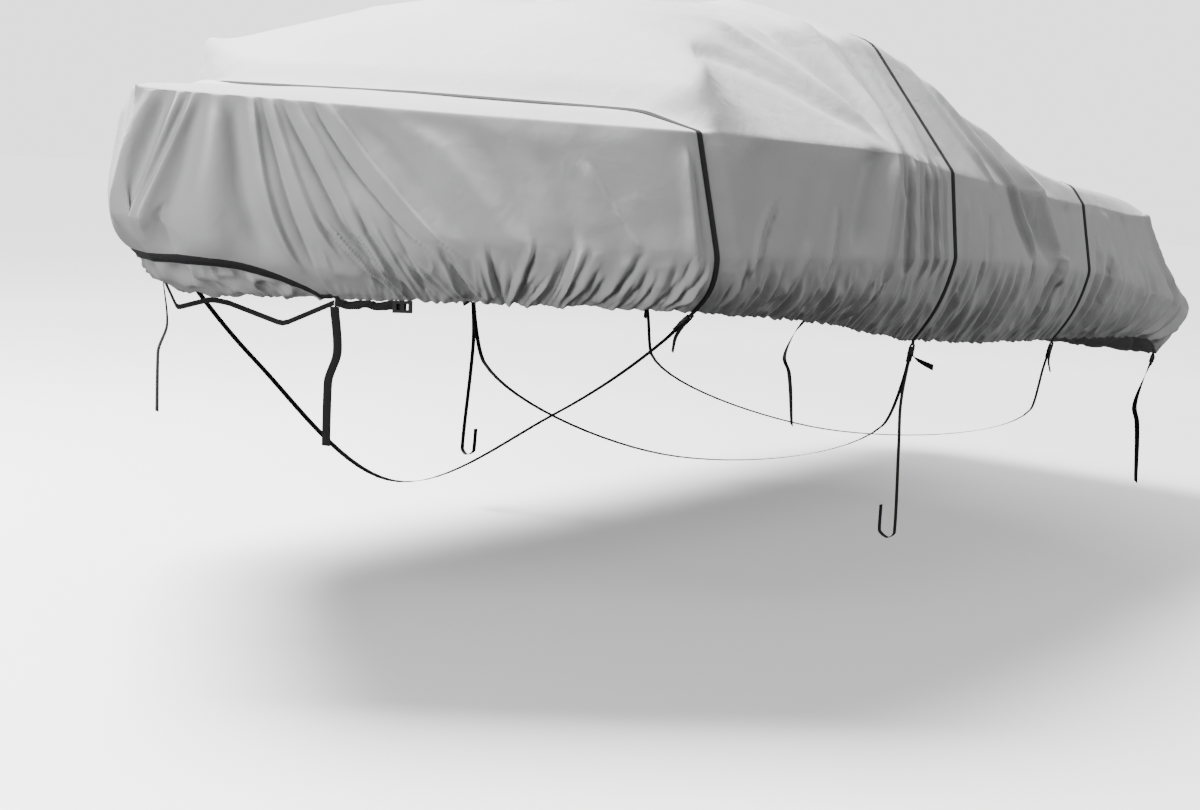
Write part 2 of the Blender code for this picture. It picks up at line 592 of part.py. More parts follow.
def main():
    clear_scene()
    grid = cover_grid()
    make_cloth(grid)
    make_binding(grid)
    for number in (1, 2, 3):
        make_crossing_strap(grid, number)
        make_tie_down(grid, number)
    make_bow_ties(grid)
    make_stern_ties(grid)
    make_beam_straps(grid)


main()
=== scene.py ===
import functools
import logging
import math
from dataclasses import dataclass, field
from enum import Enum
from typing import Callable, Dict, List, NamedTuple, Optional, Sequence, Tuple

import bmesh
import bpy
import numpy as np
from mathutils import Matrix, Vector


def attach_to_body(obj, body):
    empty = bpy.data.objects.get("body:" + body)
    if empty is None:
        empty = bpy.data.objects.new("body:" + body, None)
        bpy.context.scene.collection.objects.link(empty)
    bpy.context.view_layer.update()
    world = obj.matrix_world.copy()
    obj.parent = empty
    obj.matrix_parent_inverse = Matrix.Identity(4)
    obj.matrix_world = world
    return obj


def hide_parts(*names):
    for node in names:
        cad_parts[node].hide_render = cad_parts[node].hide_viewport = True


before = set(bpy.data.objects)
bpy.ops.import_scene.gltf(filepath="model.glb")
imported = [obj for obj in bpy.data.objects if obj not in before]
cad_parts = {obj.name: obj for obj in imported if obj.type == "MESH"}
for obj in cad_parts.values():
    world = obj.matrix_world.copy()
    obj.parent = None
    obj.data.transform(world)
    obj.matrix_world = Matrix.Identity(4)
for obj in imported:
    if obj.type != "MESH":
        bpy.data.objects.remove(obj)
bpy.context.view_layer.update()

LOG = logging.getLogger("boat_cover")
Pair = Tuple[float, float]
Triple = Tuple[float, float, float]
Rows = Sequence[Sequence[float]]
Face = Tuple[int, ...]
Span = Tuple[float, float, float, float]
Array = np.ndarray
Inputs = Dict[object, object]
Socket = bpy.types.NodeSocket
Group = Callable[[], bpy.types.NodeTree]

# The cover's zero, as in its source: tables count x from the bow tip and z from a level above the
# rail, and this moves them to the pole's cap.
ORIGIN = np.array([2.45, 0.0, 0.5576])

# Sign of girths on each side, and each side's sign of y with its name.
PORT, STARBOARD = 1, -1
SIDES = ((-1, "port"), (1, "starboard"))

# Levels up the cloth, and the middles of the three crossing straps.
HEM, RAIL, DECK, SHOULDER, RIDGE = range(5)
STRAP_X = (1.14, 2.67, 3.93)

FORE_AFT = np.array([1.0, 0.0, 0.0])
BEAM = np.array([0.0, 1.0, 0.0])
UPRIGHT = np.array([0.0, 0.0, 1.0])


class Station(NamedTuple):
    """One section of the cover, at its rail, deck edge, shoulder, ridge and hem."""

    name: str
    rail: Triple
    deck: Triple
    shoulder: Pair
    ridge: float
    hem: Triple


STATIONS = (
    Station("stem", (.050, .000, -.225), (.086, .000, .103), (.000, .108), .112,
            (.330, .000, -.425)),
    Station("cheek", (.085, .075, -.225), (.122, .060, .104), (.040, .111), .118,
            (.345, .080, -.422)),
    Station("bow_fan_1", (.225, .245, -.226), (.245, .185, .104), (.135, .116), .126,
            (.425, .225, -.414)),
    Station("bow_fan_2", (.435, .495, -.227), (.455, .385, .103), (.300, .122), .136,
            (.570, .440, -.402)),
    Station("flare", (.670, .740, -.228), (.690, .612, .102), (.480, .130), .148,
            (.755, .675, -.390)),
    Station("bow_quarter", (.900, .950, -.228), (.910, .828, .102), (.670, .136), .158,
            (.930, .890, -.382)),
    Station("strap_1_fore", (1.1275, 1.120, -.228), (1.1275, 1.030, .103), (.880, .146), .164,
            (1.1275, 1.060, -.380)),
    Station("strap_1_aft", (1.1525, 1.120, -.228), (1.1525, 1.030, .103), (.880, .148), .168,
            (1.1525, 1.060, -.380)),
    Station("screen_corner", (1.225, 1.145, -.228), (1.225, 1.048, .104), (1.010, .235), .250,
            (1.225, 1.068, -.386)),
    Station("screen_top", (1.600, 1.155, -.228), (1.600, 1.080, .104), (.900, .405), .482,
            (1.600, 1.062, -.410)),
    Station("cockpit", (2.000, 1.145, -.229), (2.000, 1.090, .104), (.800, .470), .521,
            (2.000, 1.035, -.445)),
    Station("rail_end", (2.230, 1.135, -.230), (2.230, 1.090, .101), (.770, .486), .541,
            (2.230, 1.015, -.475)),
    Station("pole", (2.450, 1.122, -.232), (2.450, 1.082, .078), (.742, .488), .560,
            (2.450, .998, -.500)),
    Station("strap_2_fore", (2.6575, 1.112, -.234), (2.6575, 1.070, .057), (.722, .480), .562,
            (2.6575, .985, -.524)),
    Station("strap_2_aft", (2.6825, 1.112, -.234), (2.6825, 1.070, .055), (.722, .478), .560,
            (2.6825, .985, -.524)),
    Station("tent_heel", (3.050, 1.112, -.244), (3.050, 1.062, .030), (.860, .305), .420,
            (3.050, .985, -.545)),
    Station("saddle", (3.450, 1.112, -.262), (3.450, 1.058, .002), (.935, .145), .240,
            (3.450, .985, -.556)),
    Station("strap_3_fore", (3.9175, 1.112, -.284), (3.9175, 1.056, -.024), (.995, .056), .120,
            (3.9175, .990, -.565)),
    Station("strap_3_aft", (3.9425, 1.112, -.285), (3.9425, 1.056, -.024), (.995, .054), .118,
            (3.9425, .990, -.565)),
    Station("quarter", (4.600, 1.100, -.365), (4.540, 1.030, -.055), (.950, .025), .085,
            (4.560, .985, -.578)),
    Station("stern_corner", (5.230, 1.075, -.450), (4.960, .965, -.060), (.870, -.002), .060,
            (5.100, .975, -.605)),
    Station("stern_bend", (5.480, .960, -.495), (5.060, .840, -.065), (.740, -.010), .050,
            (5.400, .920, -.695)),
    Station("transom_port", (5.560, .650, -.505), (5.105, .560, -.065), (.470, -.008), .045,
            (5.430, .600, -.700)),
    Station("transom", (5.580, .000, -.505), (5.125, .000, -.050), (.000, .010), .040,
            (5.450, .000, -.690)),
)


class Profile(Enum):
    """How a fold stands off the cloth across its own line."""

    SOFT = "soft"
    CREASE = "crease"
    LAP_FORE = "lap_fore"
    LAP_AFT = "lap_aft"


class Fold(NamedTuple):
    """A fold's line through three places, each a girth and a level, with its width and height.

    Girth runs along the sides in metres from the stem, port above zero. Levels are 0 at the hem,
    1 at the rail, 2 at the deck edge, 3 at the shoulder and 4 at the ridge.
    """

    name: str
    top: Pair
    middle: Pair
    low: Pair
    width: float
    height: float
    profile: Profile = Profile.SOFT


CREASE, LAP_FORE, LAP_AFT = Profile.CREASE, Profile.LAP_FORE, Profile.LAP_AFT

STEM_FOLDS = (
    Fold("stem_ridge", (.050, 2.0), (-.005, 1.5), (-.060, 1.0), .026, .014),
    Fold("stem_hollow", (.088, 2.0), (.045, 1.55), (-.010, .90), .026, -.026),
    Fold("stem_pleat", (.125, 2.0), (.070, 1.5), (.015, .95), .014, .015, LAP_FORE),
    Fold("cheek_line", (.150, 2.0), (.100, 1.6), (.045, 1.15), .009, -.009, CREASE),
    Fold("cheek_ridge", (.168, 2.0), (.115, 1.6), (.040, .90), .014, .014, LAP_FORE),
    Fold("cheek_hollow", (.195, 2.0), (.140, 1.3), (.080, .70), .034, -.020),
    Fold("cheek_crease", (.100, 1.15), (.085, .85), (.080, .60), .012, -.008, CREASE),
)
BOW_FOLDS = (
    Fold("bow_panel", (.235, 2.0), (.210, 1.3), (.190, .60), .045, .016),
    Fold("bow_shade", (.272, 2.0), (.290, 1.4), (.315, .70), .032, -.016),
    Fold("bow_streak", (.330, 2.0), (.345, 1.4), (.395, .55), .016, .013, LAP_AFT),
    Fold("fan_crease_1", (.352, 2.0), (.388, 1.45), (.430, .55), .012, -.015, CREASE),
    Fold("fan_ridge_1", (.378, 2.0), (.425, 1.42), (.500, .70), .018, .011, LAP_AFT),
    Fold("fan_crease_2", (.405, 2.0), (.495, 1.36), (.622, .20), .013, -.015, CREASE),
    Fold("fan_ridge_2", (.440, 2.0), (.535, 1.36), (.650, .25), .020, .010, LAP_AFT),
    Fold("fan_crease_3", (.490, 2.0), (.560, 1.60), (.730, .90), .013, -.011, CREASE),
    Fold("fan_ridge_3", (.530, 2.0), (.625, 1.55), (.815, .80), .024, .009, LAP_AFT),
    Fold("fan_hollow_4", (.640, 1.95), (.740, 1.50), (.900, .80), .040, -.009),
    Fold("fan_ridge_4", (.760, 1.90), (.870, 1.45), (1.000, .80), .045, .009),
    Fold("fan_hollow_5", (.920, 1.90), (.990, 1.45), (1.090, .80), .045, -.008),
    Fold("fan_foot_1", (.465, 1.10), (.560, .52), (.628, .04), .010, -.011, CREASE),
    Fold("fan_foot_ridge_1", (.485, 1.10), (.578, .52), (.640, .04), .010, .007, LAP_AFT),
    Fold("fan_foot_2", (.515, 1.15), (.600, .52), (.652, .04), .010, -.011, CREASE),
    Fold("fan_foot_ridge_2", (.535, 1.15), (.618, .52), (.666, .04), .010, .007, LAP_AFT),
    Fold("fan_foot_3", (.565, 1.20), (.642, .52), (.682, .04), .010, -.011, CREASE),
    Fold("fan_foot_ridge_3", (.600, 1.15), (.668, .52), (.702, .04), .012, .007, LAP_AFT),
    Fold("fan_foot_4", (.650, 1.15), (.705, .50), (.728, .04), .011, -.010, CREASE),
    Fold("quarter_streak", (1.195, 1.68), (1.240, 1.35), (1.300, .98), .024, .006, LAP_AFT),
    Fold("quarter_hollow", (1.090, 1.80), (1.120, 1.40), (1.160, 1.00), .040, -.007),
    Fold("strap_1_ridge", (1.462, 1.88), (1.452, 1.40), (1.435, .85), .016, .011, LAP_AFT),
    Fold("strap_1_line", (1.486, 1.80), (1.478, 1.40), (1.470, .85), .007, -.006, CREASE),
)
SIDE_FOLDS = (
    Fold("midships_lap_1", (1.835, 1.48), (1.735, 1.22), (1.680, .72), .013, .007, LAP_AFT),
    Fold("midships_line_1", (1.860, 1.46), (1.765, 1.20), (1.705, .75), .010, -.009, CREASE),
    Fold("midships_lap_2", (2.175, 1.46), (2.125, 1.15), (2.060, .62), .013, .008, LAP_AFT),
    Fold("midships_line_2", (2.200, 1.44), (2.152, 1.12), (2.085, .66), .010, -.009, CREASE),
    Fold("midships_slack", (1.980, 1.15), (1.930, .85), (1.830, .30), .030, .008),
    Fold("rail_end_hollow", (2.490, 2.02), (2.400, 1.65), (2.300, 1.10), .070, -.024),
    Fold("rail_end_drape", (2.600, 2.00), (2.490, 1.35), (2.340, .40), .045, .018, LAP_AFT),
    Fold("rail_end_sweep", (2.640, 1.70), (2.560, 1.05), (2.420, .30), .018, .012, LAP_AFT),
    Fold("pleat_line_1", (2.652, 2.06), (2.648, 1.50), (2.640, .90), .009, -.012, CREASE),
    Fold("pleat_1", (2.690, 2.04), (2.680, 1.50), (2.660, .80), .018, .016, LAP_FORE),
    Fold("pleat_line_2", (2.792, 2.04), (2.785, 1.50), (2.775, .90), .009, -.011, CREASE),
    Fold("pleat_2", (2.830, 2.03), (2.820, 1.50), (2.800, .80), .016, .014, LAP_FORE),
    Fold("pleat_line_3", (2.868, 2.03), (2.862, 1.50), (2.850, .90), .009, -.011, CREASE),
    Fold("pleat_3", (2.905, 2.03), (2.900, 1.50), (2.885, .80), .016, .014, LAP_FORE),
    Fold("pleat_line_4", (2.962, 2.02), (2.955, 1.50), (2.945, .90), .009, -.010, CREASE),
    Fold("pleat_4", (2.995, 2.02), (2.990, 1.50), (2.980, .80), .014, .008, LAP_FORE),
    Fold("heel_1", (3.170, 1.75), (3.160, 1.30), (3.140, .60), .022, .008),
    Fold("heel_2", (3.300, 1.62), (3.280, 1.15), (3.225, .35), .024, .008, LAP_AFT),
    Fold("heel_3", (3.460, 1.48), (3.440, 1.15), (3.395, .35), .022, .008, LAP_AFT),
    Fold("heel_hollow", (3.380, 1.60), (3.360, 1.20), (3.330, .60), .022, -.010),
    Fold("heel_sweep_1", (3.270, 3.30), (3.450, 2.50), (3.745, 1.02), .040, .024, LAP_FORE),
    Fold("heel_sweep_2", (3.560, 3.45), (3.720, 2.50), (4.020, 1.02), .038, .030, LAP_AFT),
    Fold("heel_valley", (3.430, 3.30), (3.590, 2.45), (3.880, 1.10), .042, -.022),
    Fold("rail_puff", (3.990, 1.18), (4.010, 1.00), (4.030, .80), .045, .014),
    Fold("aft_line", (4.150, 2.00), (4.160, 1.50), (4.140, 1.05), .030, -.008),
    Fold("stern_soft_1", (4.560, 1.95), (4.600, 1.60), (4.570, 1.10), .050, .010),
    Fold("stern_soft_2", (4.820, 2.00), (4.900, 1.60), (4.880, 1.10), .050, -.010),
    Fold("corner_crease", (5.280, 2.10), (5.310, 1.70), (5.400, 1.25), .030, .016),
)
TENT_FOLDS = (
    Fold("tent_pull_1", (2.430, 3.50), (2.540, 2.80), (2.625, 2.08), .042, -.019),
    Fold("tent_pull_2", (2.020, 3.35), (2.350, 2.75), (2.590, 2.10), .060, .012),
    Fold("tent_pull_3", (1.720, 3.05), (2.160, 2.60), (2.520, 2.12), .070, -.010),
    Fold("tent_pull_4", (2.660, 3.60), (2.690, 2.85), (2.655, 2.06), .030, .019),
    Fold("tent_pull_5", (2.800, 3.60), (2.820, 2.85), (2.760, 2.05), .034, -.016),
    Fold("tent_pull_6", (2.945, 3.50), (2.930, 2.80), (2.880, 2.05), .034, .009),
    Fold("heel_pull", (3.170, 3.55), (3.260, 2.80), (3.400, 2.02), .034, .018, LAP_FORE),
    Fold("screen_line", (1.740, 3.20), (1.650, 2.60), (1.600, 2.10), .050, .002),
)


class PleatSpan(NamedTuple):
    """A run of small gathers drawn up by the hem's elastic, on both sides of the cover."""

    name: str
    first: float
    last: float
    pitch: float
    depth: float
    top: float
    seed: int


@dataclass(frozen=True)
class PleatSpread:
    """How far gathers differ from each other, and how they lean the other way at the bow."""

    shift: Pair = (-0.32, 0.32)
    depth: Pair = (0.55, 1.30)
    width: Pair = (0.20, 0.36)
    top: Pair = (0.84, 1.12)
    lean: Pair = (0.005, 0.085)
    bow_lean: float = 0.17
    bow_end: Pair = (0.80, 1.00)
    steep_fore: float = 0.35


PLEATS = (
    PleatSpan("bow", .760, 1.480, .062, .009, 1.12, 3),
    PleatSpan("fan_gather", .590, .780, .036, .0070, .80, 9),
    PleatSpan("bow_fine", .780, 1.490, .036, .0065, .78, 4),
    PleatSpan("midships", 1.580, 2.360, .072, .009, 1.02, 5),
    PleatSpan("midships_fine", 1.580, 2.360, .040, .0060, .62, 6),
    PleatSpan("rail_end", 2.400, 3.020, .080, .009, .98, 8),
    PleatSpan("strap_2_to_3", 3.120, 4.280, .078, .011, 1.14, 13),
    PleatSpan("strap_2_to_3_fine", 3.120, 4.280, .046, .0055, .60, 14),
    PleatSpan("stern", 4.400, 5.560, .084, .017, 1.55, 21),
    PleatSpan("transom", 5.600, 6.560, .090, .011, 1.30, 34),
)


# Step between the grid's columns at each girth, and girths of its lines at rail, deck edge and
# shoulder.
COLUMN_STEPS = ((0.0, .0055), (1.00, .0055), (1.10, .0085), (1.60, .0110), (2.35, .0115),
                (2.45, .0080), (3.08, .0080), (3.18, .0120), (4.60, .0125), (4.80, .0150))
GRID_LEANS = ((-.300, -.300, -.300), (-.060, .050, -.060), (.020, .125, .020), (.080, .180, .080),
              (.190, .230, .190), (.300, .300, .300), (.410, .350, .410), (.530, .402, .530),
              (.710, .490, .700), (.860, .640, .860), (1.080, .920, 1.080), (1.300, 1.230, 1.300),
              (1.430, 1.455, 1.440), (1.540, 1.540, 1.540), (3.150, 3.150, 3.150),
              (3.745, 3.550, 3.330), (4.020, 3.830, 3.630), (4.280, 4.280, 4.270),
              (9.000, 9.000, 9.000))


class Lift(NamedTuple):
    """A hidden corner that pushes the cloth up, at y to starboard."""

    name: str
    x: float
    y: float
    radius: float
    height: float


LIFTS = (
    Lift("screen_corner_starboard", 1.235, 1.035, .150, .068),
    Lift("screen_point_starboard", 1.228, 1.038, .045, .045),
)

def ease(low: float, high: float, value: Array) -> Array:
    """0 below low, 1 above high, eased between."""
    share = np.clip((value - low) / (high - low), 0.0, 1.0)
    return share * share * (3 - 2 * share)


def fade(low: float, high: float, value: Array) -> Array:
    """1 below low, 0 above high, eased between."""
    return 1 - ease(low, high, value)


def between(span: Span, value: Array) -> Array:
    """0 outside a span of four places, 1 between its middle two, eased on both sides."""
    return ease(*span[:2], value) * fade(*span[2:], value)


def unit(vectors: Array) -> Array:
    """The vectors at length 1."""
    return vectors / np.maximum(np.linalg.norm(vectors, axis=-1, keepdims=True), 1e-12)


def run_along(path: Array) -> Array:
    """Length of a path up to each of its points."""
    return np.concatenate([[0.0], np.cumsum(np.linalg.norm(np.diff(path, axis=0), axis=1))])


def through(at: Array, known: Array, values: Array) -> Array:
    """Smooth curve through known values that never runs past them.

    Args:
        at: Where to read the curve.
        known: Rising places of the known values.
        values: The known values.

    Returns:
        The curve's value at each place.
    """
    span = np.diff(known)
    slope = np.diff(values) / span
    tangent = np.zeros(len(known))
    tangent[0], tangent[-1] = slope[0], slope[-1]
    for i in range(1, len(known) - 1):
        if slope[i - 1] * slope[i] > 0:
            before, after = 2 * span[i] + span[i - 1], span[i] + 2 * span[i - 1]
            tangent[i] = (before + after) / (before / slope[i - 1] + after / slope[i])
    cell = np.clip(np.searchsorted(known, at, side="right") - 1, 0, len(span) - 1)
    u = (at - known[cell]) / span[cell]
    return (values[cell] * (1 + 2 * u) * (1 - u) ** 2 + values[cell + 1] * u * u * (3 - 2 * u)
            + span[cell] * (tangent[cell] * u * (1 - u) ** 2 - tangent[cell + 1] * u * u * (1 - u)))


def steps(count: int, per_gap: int) -> Array:
    """Numbers from 0 to count - 1, evenly stepped between whole ones."""
    return np.arange((count - 1) * per_gap + 1) / per_gap


def rounded(points: Rows, per_gap: int) -> Array:
    """Points on a smooth curve through a short list of points.

    Args:
        points: The points to pass through.
        per_gap: Steps between two of them.

    Returns:
        The curve's points.
    """
    points = np.array(points, float)
    chord = run_along(points)
    at = np.interp(steps(len(points), per_gap), np.arange(len(points)), chord)
    return np.stack([through(at, chord, points[:, axis]) for axis in range(3)], axis=1)


def taut(points: Rows, per_gap: int) -> Array:
    """Points on straight runs between a short list of points, eased only at the turns.

    Args:
        points: The points to pass near.
        per_gap: Steps between two of them.

    Returns:
        The line's points.
    """
    points = np.array(points, float)
    at, whole = steps(len(points), per_gap), np.arange(len(points))
    line = np.stack([np.interp(at, whole, column) for column in points.T], axis=1)
    line[1:-1] = (line[:-2] + 2 * line[1:-1] + line[2:]) / 4
    return line


def placed(points: Rows, side: int) -> Array:
    """Points of the tables, moved to the part's frame and to the side whose y has a sign."""
    return np.array(points, float) * np.array([1, side, 1]) - ORIGIN


def towards(direction: Array, side: int) -> Array:
    """A direction at length 1, turned round where it points away from a side."""
    direction = unit(direction)
    return -direction if direction[1] * side < 0 else direction


@dataclass(frozen=True)
class SlackField:
    """Soft unevenness of hanging cloth, from seeded noise stretched along the drop."""

    seed: int
    along: float
    down: float

    def _lattice(self, i: Array, j: Array) -> Array:
        """A fixed random number at each whole-numbered place.

        Args:
            i: Whole numbers along the hem.
            j: Whole numbers across it.

        Returns:
            Numbers from 0 to 1.
        """
        mixed = i.astype(np.int64) * 374761393 + j.astype(np.int64) * 668265263
        mixed = (mixed + self.seed * 2654435) & 0xFFFFFFFF
        mixed = ((mixed ^ (mixed >> 13)) * 1274126177) & 0xFFFFFFFF
        return ((mixed ^ (mixed >> 16)) & 0xFFFF) / 65535.0

    def at(self, along: Array, down: Array) -> Array:
        """Noise from -1 to 1.

        Args:
            along: Place along the hem, in metres.
            down: Place across it, in metres or levels.

        Returns:
            The noise at each place.
        """
        u, v = along / self.along, down / self.down
        i, j = np.floor(u), np.floor(v)
        a, b = ease(0, 1, u - i), ease(0, 1, v - j)
        low = self._lattice(i, j) * (1 - a) + self._lattice(i + 1, j) * a
        high = self._lattice(i, j + 1) * (1 - a) + self._lattice(i + 1, j + 1) * a
        return 2 * (low * (1 - b) + high * b) - 1

    def ridged(self, along: Array, down: Array, sharp: float) -> Array:
        """Creased noise: 1 on its ridges, falling away to both sides."""
        return 1 - sharp * np.abs(self.at(along, down))


RUFFLE, RUFFLE_FINE = SlackField(11, 0.052, 0.22), SlackField(17, 0.026, 0.15)
CRUMPLE, HEM_GATHER = SlackField(23, 0.036, 0.34), SlackField(31, 0.0135, 0.30)
SIDE_SLACK, SIDE_SLACK_FINE = SlackField(41, 0.20, 0.85), SlackField(43, 0.085, 0.50)
TOP_SLACK = SlackField(51, 0.42, 0.36)


@dataclass
class CoverForm:
    """The shape that every piece lies on: the cloth's outer face over the hidden hull."""

    rail_round: float = 0.018
    bow_round: float = 0.115
    deck_round: float = 0.009
    shoulder_round: float = 0.040
    crown: float = 0.040
    billow: float = 0.020
    port_slump: float = 0.20
    strap_rise: float = 0.022
    strap_dip: float = 0.044
    band_width: float = 0.034
    band_reach: float = 0.40
    band_top: float = 0.57
    band_foot: float = 0.05
    stem_relief: float = 1.25
    fold_relief: float = 1.45
    gather_relief: float = 1.55
    ruffle: float = 0.015
    crumple: float = 0.0042
    hem_gather: float = 0.0034
    side_slack: float = 0.0065
    side_slack_fine: float = 0.0030
    top_slack: float = 0.0045
    lift_blunt: float = 0.012
    lift_power: float = 1.3
    slump_span: Span = (1.50, 1.95, 2.30, 3.00)
    dip_reach: Pair = (0.04, 0.22)
    rise_reach: Pair = (0.03, 0.16)
    bow_round_span: Span = (0.05, 0.20, 0.42, 0.80)
    fold_span: Span = (-0.04, 0.16, 0.80, 1.12)
    side_span: Span = (1.02, 1.25, 1.86, 2.0)
    lap_widths: Pair = (0.38, 1.25)
    pleat_widths: Pair = (0.45, 1.2)
    strap_clear: Pair = (0.015, 0.042)
    spread: PleatSpread = PleatSpread()
    probe: float = 0.006
    probe_level: float = 0.02
    girths: Array = field(init=False)
    columns: Array = field(init=False)

    def __post_init__(self) -> None:
        """Read the station table into columns, and measure the girth of each station."""
        self.columns = np.array([
            [*s.rail, *s.deck, s.deck[0], *s.shoulder, s.deck[0], 0.0, s.ridge, *s.hem]
            for s in STATIONS])
        self.girths = run_along((self.columns[:, 0:2] + self.columns[:, 3:5]) / 2)

    @property
    def reach(self) -> float:
        """Girth from the stem to the middle of the transom."""
        return float(self.girths[-1])

    def girth_of(self, name: str) -> float:
        """Girth at which a named station stands."""
        return float(self.girths[[s.name for s in STATIONS].index(name)])

    def strap_girth(self, number: int) -> float:
        """Girth of a crossing strap's middle."""
        return (self.girth_of(f"strap_{number}_fore") + self.girth_of(f"strap_{number}_aft")) / 2

    def corners(self, girth: Array) -> List[Array]:
        """The five long lines of the port side: hem, rail, deck edge, shoulder and ridge.

        Args:
            girth: Girths, port above zero.

        Returns:
            Each line's x, y and z at each girth.
        """
        read = [through(np.abs(girth), self.girths, column) for column in self.columns.T]
        read = np.stack(read, axis=-1)
        rail, deck, shoulder, ridge, hem = (read[..., k:k + 3] for k in range(0, 15, 3))
        strap = self.strap_girth(1)
        shoulder[..., 1] -= self.port_slump * between(self.slump_span, girth)
        shoulder[..., 1] -= self.strap_dip * fade(*self.dip_reach, np.abs(girth - strap))
        shoulder[..., 2] += self.strap_rise * fade(*self.rise_reach, np.abs(girth + strap))
        return [hem, rail, deck, shoulder, ridge]

    def _straight(self, corner: List[Array], level: Array) -> Array:
        """The cloth drawn tight from corner to corner, with its crown on top and its belly below.

        Args:
            corner: The five long lines.
            level: Levels from hem to ridge.

        Returns:
            Points on the port side.
        """
        point = np.zeros(np.broadcast(corner[HEM][..., 0], level).shape + (3,))
        for low in range(RIDGE):
            share = np.clip(level - low, 0.0, 1.0)[..., None]
            inside = ((level >= low) & (level <= low + 1))[..., None]
            point = np.where(inside, corner[low] * (1 - share) + corner[low + 1] * share, point)
        across = np.sin(np.pi * np.clip(level - SHOULDER, 0, 1))
        point[..., 2] += self.crown * across * ease(0.2, 0.45, corner[RIDGE][..., 2])
        inward = corner[RAIL] - corner[HEM]
        plan = np.hypot(inward[..., 0], inward[..., 1])
        drop = np.hypot(plan, inward[..., 2]) + 1e-9
        belly = self.billow * np.sin(np.pi * np.clip(level, 0, 1)) * (level < RAIL)
        for axis in range(2):
            point[..., axis] += belly * inward[..., 2] / drop * inward[..., axis] / (plan + 1e-9)
        point[..., 2] -= belly * plan / drop
        return point

    def base(self, girth: Array, level: Array) -> Array:
        """Points of the unwrinkled face, with its three long edges rounded.

        Args:
            girth: Girths, port above zero, that broadcast with the levels.
            level: Levels from hem to ridge.

        Returns:
            Points in the tables' own frame, port on negative y.
        """
        level = np.clip(level, HEM, RIDGE)
        corner = self.corners(girth)
        point = self._straight(corner, level)
        bow = between(self.bow_round_span, np.abs(girth))
        rounds = (self.rail_round + self.bow_round * bow, self.deck_round, self.shoulder_round)
        for edge, radius in zip((RAIL, DECK, SHOULDER), rounds):
            spans = [np.linalg.norm(corner[a + 1] - corner[a], axis=-1) for a in (edge - 1, edge)]
            low, high = (np.clip(radius / np.maximum(span, 1e-6), 0.0, 0.45) for span in spans)
            share = np.where(level < edge, (level - edge + low) / (2 * low + 1e-9),
                             0.5 + (level - edge) / (2 * high + 1e-9))
            inside = (share > 0) & (share < 1)
            share = np.clip(share, 0, 1)[..., None]
            start = (1 - share) ** 2 * self._straight(corner, edge - low + 0 * level)
            end = share ** 2 * self._straight(corner, edge + high + 0 * level)
            turn = start + 2 * share * (1 - share) * corner[edge] + end
            point = np.where(inside[..., None], turn, point)
        point[..., 1] *= -np.sign(girth)
        return point

    def outward(self, girth: Array, level: Array) -> Array:
        """Direction straight off the unwrinkled face, upright on the raised top.

        Args:
            girth: Girths, port above zero, that broadcast with the levels.
            level: Levels from hem to ridge.

        Returns:
            The directions, at length 1.
        """
        aft, fore = (self.base(girth + side * self.probe, level) for side in (1, -1))
        above, below = (self.base(girth, level + side * self.probe_level) for side in (1, -1))
        normal = np.cross(aft - fore, above - below)
        length = np.linalg.norm(normal, axis=-1, keepdims=True)
        normal = np.where(length > 1e-8, normal / np.maximum(length, 1e-12), UPRIGHT)
        share = ease(2.15, 2.6, level * np.ones(normal.shape[:-1]))[..., None]
        return unit(normal * (1 - share) + UPRIGHT * share)

    def band_edges(self, girth: Array) -> Tuple[Array, Array]:
        """The two edges of the dark binding over the bow.

        Args:
            girth: Girths, port above zero.

        Returns:
            Levels of its lower and of its upper edge.
        """
        along = np.abs(girth) / self.band_reach
        middle = self.band_foot + (self.band_top - self.band_foot) * np.clip(1 - along ** 4.0, 0, 1)
        corner = self.corners(girth)
        half = self.band_width / 2 / np.linalg.norm(corner[RAIL] - corner[HEM], axis=-1)
        half = np.minimum(half, middle - 0.01)
        return middle - half, middle + half

    def _fold(self, fold: Fold, girth: Array, level: Array) -> Array:
        """Height of one fold.

        Args:
            fold: The fold.
            girth: Girths as a column, port above zero.
            level: Levels, one row for each girth.

        Returns:
            Heights in metres.
        """
        places = np.array([fold.top, fold.middle, fold.low])
        curve = np.polyfit(places[:, 1], places[:, 0], 2)
        run = (level - fold.top[1]) / (fold.low[1] - fold.top[1])
        bounded = np.clip(level, fold.low[1] - 0.1, fold.top[1] + 0.1)
        away = girth - np.polyval(curve, bounded)
        ends = between(self.fold_span, run)
        if fold.profile is Profile.CREASE:
            shape = np.exp(-np.abs(away) / fold.width)
        elif fold.profile is Profile.SOFT:
            shape = np.exp(-(away / fold.width) ** 2)
        else:
            steep = away < 0 if fold.profile is Profile.LAP_FORE else away > 0
            low, high = (share * fold.width for share in self.lap_widths)
            shape = np.exp(-(away / np.where(steep, low, high)) ** 2)
        return self.fold_relief * fold.height * ends * shape

